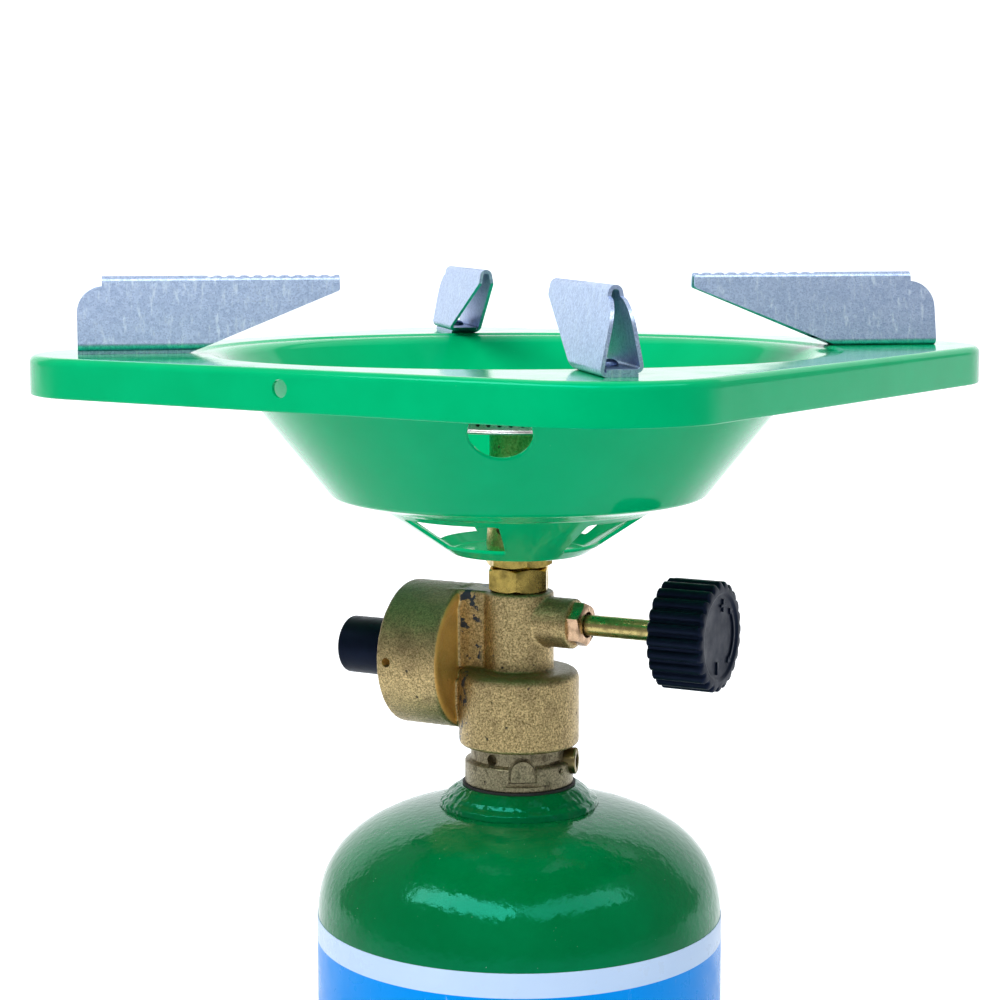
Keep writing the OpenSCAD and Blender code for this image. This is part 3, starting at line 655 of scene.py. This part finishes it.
def make_neck():
    """The turned and drilled brass neck with its thread."""
    flange_r, relief_r, bore_r, thread_r = 13.1, 11.6, 6.0, 12.6
    core_r, top_z, thread_z = 5.0, NECK_HIGH.z, NECK_Z + 9.9
    outline = rounded([
        (core_r, NECK_LOW.z), (core_r + 4.2, NECK_LOW.z), (core_r + 4.2, NECK_Z),
        (flange_r, NECK_Z, 0.35), (flange_r, NECK_Z + 5.5, 0.5), (relief_r + 0.1, NECK_Z + 6.1, 0.3),
        (relief_r, thread_z - 0.6, 0.3), (thread_r - 0.75, thread_z), (thread_r - 0.75, top_z - 0.6),
        (thread_r - 1.3, top_z, 0.2), (bore_r, top_z, 0.3), (bore_r, NECK_LOW.z + 12),
        (core_r, NECK_LOW.z + 12)], 4)
    neck = turned(densify(outline, 1.2), 144)

    def at(azimuth, height, depth=0.0):
        """Matrix from a feature's own frame, +Z outward, on to the neck's side."""
        turn = about_z(radians(azimuth))
        return turn @ moved(depth, 0, height) @ ALONG_X

    relief_low, relief_high = span("relief_valve_body")
    relief_z = (relief_low.z + relief_high.z) / 2
    cuts = [place(rod(3.25, 9.4, 16, 48), at(15.5, relief_z)),
            place(rod(1.4, 9.6, 14, 32), at(-96.0, 192.4)),
            place(turned([(0, 11), (0.45, 11), (0.45, 12.75), (0.95, 13.25), (0, 13.25)], 32),
                  at(-12.5, 189.4))]
    for azimuth, height, width, tall in ((-58.5, 186.9, 9.5, 0.9), (-16, 191.4, 3.6, 0.7)):
        slot = rounded(rectangle(-tall / 2, tall / 2, -width / 2, width / 2, 0.3), 4)
        cuts.append(place(prism(slot, 12.0 if height < 190 else 11.1, 15), at(azimuth, height)))
    combine(neck, cuts)
    # a raised blank pad with a round top, in a groove of its own outline
    pad_r = 2.8
    top = [(-pad_r * cos(t), pad_r * sin(t)) for t in np.linspace(-pi / 2, pi / 2, 24)]
    pad = np.array([(2.2, -pad_r), *top, (2.2, pad_r)])
    to_pad = at(-58.5, 190.0)
    combine(neck, place(soften(prism(pad, 10.8, 13.2), 0.12), to_pad), "UNION")
    groove = combine(prism(1.22 * pad, 11.4, 14), prism(1.02 * pad, 11, 15))
    combine(neck, place(groove, to_pad))
    piece(neck, "neck_body", "cylinder", NECK, ["cylinder_neck"])

    pitch, turns, per_turn = 1.27, 6, 72
    rings = []
    for k in range(turns * per_turn + 1):
        angle = 2 * pi * k / per_turn
        z = thread_z + 0.2 + pitch * k / per_turn
        fade = min(1.0, k / 30, (turns * per_turn - k) / 30)
        crest = thread_r - 0.75 + 0.05 + 0.7 * fade
        profile = [(thread_r - 1.2, z - 0.5), (crest, z - 0.09), (crest, z + 0.09), (thread_r - 1.2, z + 0.5)]
        rings.append([(r * cos(angle), r * sin(angle), h) for r, h in profile])
    piece(loft(rings), "neck_thread", "cylinder", BRASS)


def make_relief_valve():
    low, high = span("relief_valve_body")
    body = turned(rounded([(0.8, 9.55), (3.2, 9.55), (3.2, 14.3, 0.45), (1.7, 14.3, 0.15), (1.7, 10.4),
                           (0.8, 10.4)]), 64)
    turn = about_z(radians(15.5)) @ moved(0, 0, (low.z + high.z) / 2) @ ALONG_X
    notch = [prism(rectangle(-3.4, 3.4, -0.45, 0.45), 13.6, 15)]
    piece(place(soften(combine(body, notch), 0.08), turn), "relief_housing", "cylinder", DULL_BRASS,
          ["relief_valve_body"])


# --- regulator --------------------------------------------------------------

def make_casting():
    """The sand-cast body: solids joined, remeshed so that corners become fillets, then machined."""
    collar_r, collar_low, collar_top = 14.5, BODY_LOW.z, COLLAR_TOP_Z
    column_r, boss_r, boss_len = 8.4, 6.0, 15.2
    drum_r, drum_x, drum_len = 17.6, 13.3, 16.4
    column_top, half_block, voxel = COLUMN_TOP_Z, 5.5, 0.3

    body = turned(rounded([(0, collar_low), (collar_r, collar_low, 0.9), (collar_r, collar_top, 2.2),
                           (0, collar_top)]), 128)
    column = turned(rounded([(0, collar_top - 2), (column_r, collar_top - 2), (column_r, column_top, 0.4),
                             (0, column_top)]), 96)
    boss = place(turned(rounded([(0, -2), (boss_r, -2), (boss_r, boss_len, 0.35), (0, boss_len)]), 72),
                 ON_SPINDLE)
    drum = place(turned(rounded([
        (0, drum_x + 0.5), (drum_r - 4.0, drum_x + 0.6, 1.5), (drum_r - 1.4, drum_x, 0.8),
        (drum_r, drum_x + 0.2, 1.0), (drum_r, drum_x + drum_len, 0.5), (0, drum_x + drum_len)]), 160),
        ON_DRUM)
    block = prism(rectangle(-drum_x - 3, 0, -half_block, half_block), DRUM_Z - 2, column_top)
    web = prism(rectangle(-drum_x - 3, -2, -0.9, 0.9), DRUM_Z - 14, DRUM_Z)
    ribs = []
    for side in (-1, 1):
        rib = [(-drum_x - 2, side * 6.0), (-drum_x + 1.0, side * 6.2), (-drum_x + 1.0, side * 6.9),
               (-drum_x - 2, side * 7.3)]
        ribs.append(prism(rib[::-side], DRUM_Z - 15, DRUM_Z - 5))
    combine(body, [column, boss, drum, block, web] + ribs, "UNION")
    mesher = body.modifiers.new("voxels", "REMESH")
    mesher.mode = "VOXEL"
    mesher.voxel_size = voxel
    apply_modifiers(body)
    smooth = body.modifiers.new("smooth", "SMOOTH")
    smooth.factor = 0.5
    smooth.iterations = 10
    apply_modifiers(body)
    roughen(body, 0.05, 1.1, 3)

    socket = rod(12.7, collar_low - 1, NECK_HIGH.z + 2, 128)
    passage = rod(3, NECK_HIGH.z, NECK_HIGH.z + 8, 48)
    vent = rod(1.15, 0, drum_r + 2, 40)
    place(vent, moved(-26.9, 0, DRUM_Z) @ UPRIGHT)
    chamber = place(turned([(0, 18), (12.5, 18), (12.5, 20.5), (15.2, 20.5), (15.2, 32), (0, 32)], 128),
                    ON_DRUM)
    gland = place(turned([(0, 5.6), (3.5, 5.6), (3.5, 10.5), (4.5, 10.5), (4.5, 17), (0, 17)], 64),
                  ON_SPINDLE)
    holder = rod(4.5, column_top - 5, column_top + 2, 64)
    combine(body, [merged([socket]), passage, vent, chamber, gland, holder])
    piece(body, "regulator_casting", "stove_head", CAST, ["regulator_body"], 50)


def make_regulator_end():
    """The pressed cover and the satin cap on the drum's outer end."""
    end = -BODY_LOW.x
    cover = turned(rounded([
        (4.2, end - 2.6), (15.15, end - 2.6), (15.15, end - 0.6, 0.4), (13.2, end - 0.6, 0.4),
        (12.6, end - 1.1, 0.4), (8.4, end - 1.1, 0.4), (7.9, end - 0.6, 0.4), (5.5, end - 0.6),
        (5.5, -CAP_LOW.x - 4, 0.3), (4.2, -CAP_LOW.x - 4)]), 128)
    stakes = []
    for k in range(8):
        stake = turned([(0, end - 0.95), (0.7, end - 0.3), (0.7, end), (0, end)], 16)
        stakes.append(place(stake, about_z(k * pi / 4 + 0.2) @ moved(14.2, 0, 0)))
    combine(cover, [merged(stakes)])
    piece(place(cover, ON_DRUM), "regulator_end_cover", "stove_head", BRASS,
          ["regulator_cover"])

    cap_r, cap_end = 7.1, -CAP_LOW.x
    cap = turned(rounded([
        (5.52, end - 0.6), (cap_r - 0.1, end - 0.6, 0.2), (cap_r, end + 3), (cap_r - 0.05, cap_end, 0.9),
        (3.2, cap_end, 0.4), (2.9, cap_end - 0.35, 0.2), (0, cap_end - 0.35), (0, cap_end - 2.5),
        (5.52, cap_end - 2.5)], 6), 96)
    piece(place(cap, ON_DRUM), "spring_cap", "stove_head", BLACK, ["regulator_cap"])


# --- spindle and knob -------------------------------------------------------

def hexagon_nut(flats, low, high, bore, chamfer_low, chamfer_high, bore_edge=0.25):
    """A hexagon nut with turned chamfers and a softened bore."""
    corner = flats / 2 / cos(pi / 6)
    drop = (corner - flats / 2 + 0.3) * tan(radians(30))
    shape = prism([(corner * cos(k * pi / 3), corner * sin(k * pi / 3)) for k in range(6)], low, high)
    outline = [(0, low)]
    outline += [(flats / 2 - 0.3, low), (corner, low + drop)] if chamfer_low else [(corner + 0.3, low)]
    outline += [(corner, high - drop), (flats / 2 - 0.3, high)] if chamfer_high else [(corner + 0.3, high)]
    outline += [(0, high)]
    combine(shape, turned(outline, 96), "INTERSECT")
    mouth = bore + bore_edge
    hole = turned([(0, low - 1), (mouth, low - 1), (mouth, low), (bore, low + bore_edge),
                   (bore, high - bore_edge), (mouth, high), (mouth, high + 1), (0, high + 1)], 64)
    return soften(combine(shape, hole), 0.12, 2, 25)


def make_gland():
    boss_len = 15.2
    nut = hexagon_nut(9.3, boss_len, boss_len + 3.2, 2.6, False, True, 0.5)
    place(nut, about_z(radians(8)))
    washer = rod(4.45, boss_len - 3.1, boss_len + 0.05, 64, 2.7)
    combine(nut, washer, "UNION")
    piece(place(nut, ON_SPINDLE), "packing_nut", "stove_head", GLAND_BRASS, ["gland_nut"])


def make_knob():
    """A round knob with half-round ribs, and raised turn marks on its face."""
    ribs, rib_r, outer_r = 24, 0.95, KNOB_HIGH.y
    core_r = outer_r - rib_r
    low, high = KNOB_LOW.x, KNOB_HIGH.x
    count = ribs * 22
    angles = np.linspace(0, 2 * pi, count, endpoint=False)
    pitch = 2 * pi / ribs
    along = np.abs((angles - pitch / 2) % pitch - pitch / 2) * core_r
    width = 1.15
    bulge = np.where(along < width, np.sqrt(np.clip(1 - (along / width) ** 2, 0, 1)) * rib_r, 0)

    def ring(x, shrink, ribbed):
        radius = core_r - shrink + bulge * ribbed
        return at_height(on_circle(angles, radius), x)

    rim = 0.9
    loops = [ring(low, 0.5, 0.55), ring(low + 0.15, 0.2, 0.8), ring(low + 0.45, 0, 0.97),
             ring(low + 0.8, 0, 1)]
    loops += [ring(x, 0, 1) for x in np.linspace(low + 3, high - 2, 4)]
    for t in np.linspace(0, pi / 2, 7):
        loops.append(ring(high - rim + rim * sin(t), rim * (1 - cos(t)),
                          1 - 0.75 * (1 - cos(t)) - 0.25 * sin(t) ** 4))
    loops.append(ring(high, 1.5, 0))
    for radius, x in (
            (10.3, high), (10.0, high - 0.1), (9.75, high - 0.4), (9.3, high - 0.5), (5, high - 0.5),
            (0.0, high - 0.5), (0, high - 2.9), (4, high - 3), (5.9, high - 3), (6, low + 0.4),
            (6.3, low + 0.2), (6.3, low + 0.2), (6.4, high - 3), (10.2, high - 3), (10.4, low + 0.3),
            (10.7, low)):
        loops.append(at_height(on_circle(angles, radius), x))
    knob = loft(loops, closed=True)
    hub = rod(4, low - 1, high - 3.5, 48)
    combine(knob, hub)

    # marks: plus, minus and a curved arrow, standing on the recessed face
    face = high - 0.55
    marks = []

    def bar(x, y, length, wide, angle):
        shape = rounded(rectangle(-length / 2, length / 2, -wide / 2, wide / 2, 0.12), 3)
        mark = soften(prism(shape, face, face + 0.45), 0.08)
        marks.append(place(mark, moved(x, y, 0) @ about_z(angle)))

    def spot(radius, degrees_round):
        return radius * cos(radians(degrees_round)), radius * sin(radians(degrees_round))

    bar(*spot(7.3, 168), 3.0, 0.6, 0)
    bar(*spot(7.3, 168), 0.6, 3.0, 0)
    bar(*spot(7.3, -14), 3.0, 0.6, 0)
    sweep = np.radians(np.linspace(42, 128, 30))
    arc = [(r * cos(a), r * sin(a)) for r, line in ((8.35, sweep), (7.65, sweep[::-1])) for a in line]
    marks.append(soften(prism(arc, face, face + 0.45), 0.08))
    for end, way in ((radians(130), 1), (radians(40), -1)):
        tip, back = end + way * 0.14, end - way * 0.03
        head = [(8.0 * cos(tip), 8.0 * sin(tip)), (8.9 * cos(back), 8.9 * sin(back)),
                (7.1 * cos(back), 7.1 * sin(back))]
        marks.append(soften(prism(head[::way], face, face + 0.45), 0.08))
    combine(knob, [merged([mark]) for mark in marks], "UNION")
    piece(place(knob, ON_SPINDLE), "turn_knob", "spindle", BLACK, ["control_knob"], 40)


# --- burner -----------------------------------------------------------------

def make_nuts():
    """The hexagon of the jet holder and the thin lock nut above it."""
    flats, lock_flats, jet_top = 13.7, 14.4, COLUMN_TOP_Z + 5.9
    holder = hexagon_nut(flats, COLUMN_TOP_Z, jet_top, 1.6, True, True)
    place(holder, about_z(radians(-7.5)))
    for outer, low, high in ((4.48, COLUMN_TOP_Z - 4.4, COLUMN_TOP_Z + 0.6), (3.4, jet_top - 1, jet_top + 5)):
        combine(holder, rod(outer, low, high, 64, 1.65), "UNION")
    piece(holder, "jet_holder_nut", "stove_head", NUT_BRASS, ["jet_holder"])
    lock_low, lock_high = span("lock_nut")
    lock = hexagon_nut(lock_flats, lock_low.z, lock_high.z, 4.9, True, False)
    place(lock, about_z(radians(10.8)))
    piece(lock, "thin_lock_nut", "stove_head", NUT_BRASS, ["lock_nut"])


def make_burner():
    low, high = span("burner_tube")
    foot = PAN_BOTTOM_Z + 0.8
    tube = turned(densify(rounded([
        (4, low.z), (4.85, low.z), (4.85, foot), (7.6, foot, 0.3), (7.8, foot + 1.2, 0.6),
        (7.0, foot + 12, 6), (7.0, high.z), (4, high.z)]), 1.0), 96)
    holes = []
    for k in range(4):
        hole = place(rod(1.8, 0, 12, 32), moved(0, 0, foot + 6) @ ALONG_X)
        holes.append(place(hole, about_z(PAN_YAW + k * pi / 2)))
    piece(combine(tube, holes), "mixing_tube", "stove_head", SANDY, ["burner_tube"])

    head_low, head_high = span("burner_head")
    z, top, r, t = head_low.z, head_high.z, 20.5, 0.6
    head = turned(rounded([
        (4, z), (r + 1.6, z, 0.25), (r + 1.6, z + t, 0.25), (r, z + t, 0.4), (r, top, 0.1), (r - t, top, 0.1),
        (r - t, z + t, 0.6), (4, z + t)]), 192)
    ports = []
    for k in range(48):
        port = place(rod(0.55, 18.5, 22.4, 16),
                     about_z(2 * pi * k / 48) @ moved(0, 0, z + 2.1) @ ALONG_X)
        ports.append(port)
    combine(head, [merged(ports)])
    piece(head, "burner_ring", "stove_head", STAINLESS, ["burner_head"])

    z = span("burner_cap")[0].z
    cap = turned(rounded([
        (0, z + 0.8), (8, z + 0.6, 3), (r - 2, z, 2), (r + 0.75, z, 0.25), (r + 0.75, z + 0.55, 0.25),
        (r - 1.6, z + 0.6, 2), (8, z + 1.2, 3), (0, z + 1.4)]), 144)
    piece(cap, "burner_lid", "stove_head", STAINLESS, ["burner_cap"])


# --- burner pan -------------------------------------------------------------

PAN_T = 0.8
PIVOT_R = 90.0
CORNER_TURNS = [about_z(radians(45 + 90 * k)) for k in range(4)]
PAN_DEPTH = PAN_Z - PAN_BOTTOM_Z


def bowl_path():
    """The bowl's underside as (radius, height under the flange), from the hole outward."""
    return rounded([
        (5.0, -PAN_DEPTH), (16.1, -PAN_DEPTH, 3.0), (33.2, -37.4, 3.0), (44.64, -34.58, 2.8),
        (71.2, -1.3, 6.2), (75.4, -1.3, 0.6), (76.4, -PAN_T, 0.6), (78.4, -PAN_T)], 9, closed=False)


def make_pan():
    """The pressed pan: one closed skin over a bowl, a square flange and a skirt, then its openings."""
    half_side, corner_r, skirt_h, edge_r = 88.3, 27.0, 9.0, 1.7
    count = 480
    angles = (np.arange(count) + 0.5) * 2 * pi / count
    way = on_circle(angles)

    def circle(radius, z):
        return at_height(way * radius, z)

    def square(inset, z):
        inner = half_side - corner_r
        flat = (half_side - inset) / np.abs(way).max(axis=1)
        dot = np.abs(way).sum(axis=1) * inner
        bend = dot + np.sqrt(np.clip(dot ** 2 - 2 * inner ** 2 + (corner_r - inset) ** 2, 0, None))
        radius = np.where(flat * np.abs(way).min(axis=1) > inner, bend, flat)
        return at_height(way * radius[:, None], z)

    under = bowl_path()
    upper = offset(under, PAN_T)
    under_bend = [square(edge_r - (edge_r - PAN_T) * sin(t), -edge_r + (edge_r - PAN_T) * cos(t))
                  for t in np.linspace(0, pi / 2, 6)]
    bends = np.linspace(0, pi / 2, 9)
    outer_bend = [square(edge_r - edge_r * cos(t), -edge_r + edge_r * sin(t)) for t in bends]
    hem = [square(0.4 + 0.4 * cos(t), -skirt_h + 0.4 - 0.4 * sin(t)) for t in np.linspace(0, pi, 6)]
    loops = [circle(r, z) for r, z in under]
    loops += [circle(79.2, -PAN_T), square(edge_r + 0.5, -PAN_T)] + under_bend
    loops += [square(PAN_T, z) for z in (-edge_r - 0.4, -skirt_h + 1.0)] + hem
    loops += [square(0, z) for z in (-skirt_h + 1.0, -edge_r - 0.4)] + outer_bend
    loops += [square(edge_r + 0.5, 0), circle(79.2, 0)] + [circle(r, z) for r, z in upper[::-1]]
    pan = loft(loops, closed=True)

    middle = offset(under, PAN_T / 2)

    def sheet_z(radius):
        return np.interp(radius, middle[:, 0], middle[:, 1])

    cutters, beads = [], []
    bead_r = 0.46
    for k in range(4):
        reach = radians(26) * 24
        flat = densify(rounded(rectangle(19.1, 31.2, -reach, reach, 1.2), 5), 0.8)
        turn = flat[:, 1] / 24 + k * pi / 2
        outline = on_circle(turn, flat[:, 0])
        cutters.append(prism(outline, -PAN_DEPTH - 2, -35.5))
        beads.append(tube_along(np.column_stack([outline, sheet_z(flat[:, 0])]), bead_r))
    # lighting port, square to the bowl's wall
    port_r, port_path_r, port_depth, tilt = 7.4, 59.3, 14.4, 38.6
    to_port = (about_z(radians(-60)) @ moved(port_path_r, 0, -port_depth)
               @ Matrix.Rotation(radians(90 + tilt), 4, "Y"))
    cutters.append(place(rod(port_r, -6, 6, 96), to_port))
    rim = []
    for t in np.linspace(0, 2 * pi, 96, endpoint=False):
        spot = to_port @ Vector((port_r * cos(t), port_r * sin(t), 0))
        # slides along the port's own axis until it meets the middle of the sheet
        out = (to_port.to_3x3() @ Vector((0, 0, 1))).normalized()
        for _ in range(20):
            gap = spot.z - float(sheet_z(spot.xy.length))
            spot -= out * gap / (out.z - out.xy.length * np.sign(out.xy.dot(spot.xy)) / tan(radians(tilt)))
        rim.append(spot)
    beads.append(tube_along(rim, bead_r))
    # hang hole in the skirt and the four rivet holes
    cutters.append(place(rod(1.95, -4, 4, 40), moved(0, -half_side, -4.1) @ UPRIGHT))
    cutters += [place(rod(1.6, -2, 2, 32), turn @ moved(PIVOT_R, 0, 0)) for turn in CORNER_TURNS]
    combine(pan, merged(cutters))
    combine(pan, merged(beads), "UNION")
    piece(place(pan, ON_PAN), "pan_pressing", "stove_head", ENAMEL,
          ["pan_flange", "pan_bowl", "pan_port_panel", "pan_cup"])


def make_rivets():
    sheet = 0.8
    shape = turned(rounded([
        (0, -PAN_T - 0.9), (2.5, -PAN_T - 0.9, 0.4), (2.6, -PAN_T), (1.6, -PAN_T), (1.6, 2 * sheet + 0.05),
        (2.25, 2 * sheet + 0.05, 0.1), (2.2, 2 * sheet + 0.75, 0.75), (1.2, 2 * sheet + 1.28, 1.0),
        (0, 2 * sheet + 1.32)], 6), 48)
    heads = [copy_of(shape, ON_PAN @ turn @ moved(PIVOT_R, 0, 0)) for turn in CORNER_TURNS]
    bpy.data.objects.remove(shape)
    piece(merged(heads), "pivot_rivets", "stove_head", GALVANISED, ["support_rivets"])


def make_spring(node, body, axis, wire, turns):
    """A coil spring along an axis, sized to its CAD node's box."""
    low, high = span(node)
    axis = Vector(axis)
    across = Vector((0, 1, 0))
    upright = axis.cross(across)
    length = abs((high - low).dot(axis))
    ring_r = (high.y - low.y) / 2 - wire
    centre = (low + high) / 2
    steps, sides = turns * 20, 10
    loops = []
    for i in range(steps + 1):
        angle = 2 * pi * turns * i / steps
        outward = across * cos(angle) + upright * sin(angle)
        middle = centre + axis * ((length - 2 * wire) * (i / steps - 0.5)) + outward * ring_r
        ring = [2 * pi * k / sides for k in range(sides)]
        loops.append([middle + wire * (cos(a) * outward + sin(a) * axis) for a in ring])
    coil = piece(loft(loops), node + "_coil", body, STAINLESS, [node])
    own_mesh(coil)


def make_springs():
    make_spring("regulator_spring", "stove_head", (-1, 0, 0), 0.45, 7)
    make_spring("valve_core_spring", "cylinder", (0, 0, -1), 0.3, 6)


def make_supports():
    """Four folded sheet supports: a round ridge, two leaning walls, two flanges that overlap."""
    sheet, ridge_r, tilt = 0.8, 1.5, radians(11)
    height = span("pan_support_1")[1].z - PAN_Z
    tip_r, base_in, base_out, ridge_out, step, corner = 42.6, 78.3, 102.8, 97.0, 2.3, 6.2
    centre = height - ridge_r
    mid_r = ridge_r - sheet / 2
    lean = tan(tilt)

    def wall_y(z):
        return mid_r / cos(tilt) + (centre - z) * lean

    # centre line of the sheet, from the lower flange's edge over the ridge to the upper flange's edge
    low, high = sheet / 2, 1.5 * sheet
    ridge = [(mid_r * cos(t), centre + mid_r * sin(t)) for t in np.linspace(pi - tilt, tilt, 17)]
    start = rounded([(3.2, low), (-wall_y(low), low, 1.0), (-wall_y(8), 8)], 6, closed=False)[:-1]
    finish = rounded([(wall_y(8), 8), (wall_y(high), high, 1.0), (-3.2, high)], 6, closed=False)[1:]
    line = np.array([*start, *ridge, *finish])
    section = np.vstack([offset(line, sheet / 2 - 0.01), offset(line, -sheet / 2 + 0.01)[::-1]])
    loops = [np.column_stack([np.full(len(section), x), section]) for x in (tip_r - 1, base_out + 1)]
    shape = loft(loops)

    shelf = height - step
    heel = [(base_out - corner + corner * cos(t), shelf - corner + corner * sin(t))
            for t in np.linspace(0, pi / 2 - 0.07, 10)]
    side = rounded([
        (base_in, -0.2), (base_out, -0.2), *heel, (ridge_out, height + 1), (tip_r, height + 1),
        (tip_r, height - 3.6, 0.8)], 8)
    combine(shape, place(prism(side, -12, 12), UPRIGHT), "INTERSECT", "FAST")
    cutters = [place(rod(1.7, -1, 3, 32), moved(PIVOT_R, 0, 0))]
    for k in range(10):
        notch = rod(1.2, -4, 4, 32)
        place(notch, moved(tip_r + 1.8 + 3.1 * k, 0, height + 0.8) @ UPRIGHT)
        cutters.append(notch)
    combine(shape, cutters, "DIFFERENCE", "FAST")
    soften(shape, 0.1, 1, 50)
    for k, turn in enumerate(CORNER_TURNS, 1):
        piece(copy_of(shape, ON_PAN @ turn), f"pan_support_arm_{k}", f"support_{k}", GALVANISED,
              [f"pan_support_{k}"])
    bpy.data.objects.remove(shape)


# --- carried-over CAD nodes, stage, light, camera ---------------------------

def finish_cad_nodes():
    """Every CAD node that still shows gets the look of its slot."""
    slots = {part["node"]: part["material_slot"] for part in frame["record"]["subparts"]}
    for name, obj in frame["nodes"].items():
        obj.data.materials.clear()
        obj.data.materials.append(SLOT_LOOKS[slots[name]])
        obj.data.shade_smooth()
        obj.data.set_sharp_from_angle(angle=radians(30))


def make_stage():
    size, rise, bend = 4.0, 2.5, 0.8
    arc = [(size / 2 + bend * sin(t), bend - bend * cos(t)) for t in np.linspace(0, pi / 2, 24)]
    line = [(-size / 2, 0.0), *arc, (size / 2 + bend, rise)]
    verts = [(x, y, z) for y, z in line for x in (-size, size)]
    faces = [(2 * k, 2 * k + 1, 2 * k + 3, 2 * k + 2) for k in range(len(line) - 1)]
    mesh = bpy.data.meshes.new("floor")
    mesh.from_pydata(verts, [], faces)
    floor = place(in_scene("floor", mesh), about_z(VIEW_AZIMUTH))
    mesh.shade_smooth()
    # the backdrop glows softly, the floor round the stove does not
    look = Look("floor", (0.93, 0.95, 0.97), 0.9, Emission_Color=(0.97, 0.985, 1, 1))
    away = (-sin(VIEW_AZIMUTH), cos(VIEW_AZIMUTH), 0)
    depth = look.node("VectorMath", {0: look.where, 1: away}, operation="DOT_PRODUCT").outputs["Value"]
    look.link(look.remap(depth, 0.15, 0.6, 0.0, 0.7), "Emission Strength")
    mesh.materials.append(look.material)


def soft_box(name, azimuth, height, distance, size, watts, colour=(1, 1, 1)):
    """A square area light on a circle round the stove, aimed at the burner."""
    light = bpy.data.lights.new(name, "AREA")
    light.shape = "RECTANGLE"
    light.size, light.size_y = size
    light.energy = watts
    light.color = colour
    lamp = in_scene(name, light)
    target = Vector((0, 0, 0.24))
    spot = Vector((distance * sin(azimuth), -distance * cos(azimuth), height))
    aim = (target - spot).to_track_quat("-Z", "Y")
    lamp.matrix_world = Matrix.Translation(spot) @ aim.to_matrix().to_4x4()


VIEW_AZIMUTH = radians(27.5)


def make_light():
    world = bpy.data.worlds.new("world")
    SCENE.world = world
    world.use_nodes = True
    background = world.node_tree.nodes["Background"]
    background.inputs["Color"].default_value = (0.97, 0.985, 1, 1)
    background.inputs["Strength"].default_value = 0.3
    soft_box("left", VIEW_AZIMUTH - radians(44), 1.15, 0.8, (1.3, 0.4), 13)
    soft_box("right", VIEW_AZIMUTH + radians(44), 1.15, 0.8, (1.3, 0.4), 5.5)
    soft_box("top", VIEW_AZIMUTH + radians(170), 1.8, 0.6, (1.6, 1.6), 5)
    SCENE.view_settings.view_transform = "Standard"


def make_camera():
    """The camera stands 534 mm off, 30 mm above the pan, and looks a little down."""
    distance, rise = 533.6, 29.9
    yaw, pitch, roll = -0.00845, 0.12325, -0.00171
    camera = bpy.data.cameras.new("camera")
    camera.lens = 80.95
    camera.sensor_width = 36
    camera.clip_start = 0.01
    eye = in_scene("camera", camera)
    forward = Vector((sin(yaw) * cos(pitch), cos(yaw) * cos(pitch), -sin(pitch)))
    right = Vector((cos(yaw), -sin(yaw), 0))
    up = right.cross(forward)
    tilted_right = cos(roll) * right + sin(roll) * up
    tilted_up = -sin(roll) * right + cos(roll) * up
    axes = Matrix((tilted_right, tilted_up, -forward)).transposed().to_4x4()
    spot = moved(0, -distance * MM, (PAN_Z + rise) * MM)
    eye.matrix_world = about_z(VIEW_AZIMUTH) @ spot @ axes
    SCENE.camera = eye


for make in (make_camera, finish_cad_nodes, make_cylinder, make_foot_ring, make_label, make_weld_ring,
             make_neck, make_relief_valve, make_casting, make_regulator_end, make_gland, make_knob,
             make_nuts, make_burner, make_pan, make_rivets, make_supports, make_springs, make_stage,
             make_light):
    make()
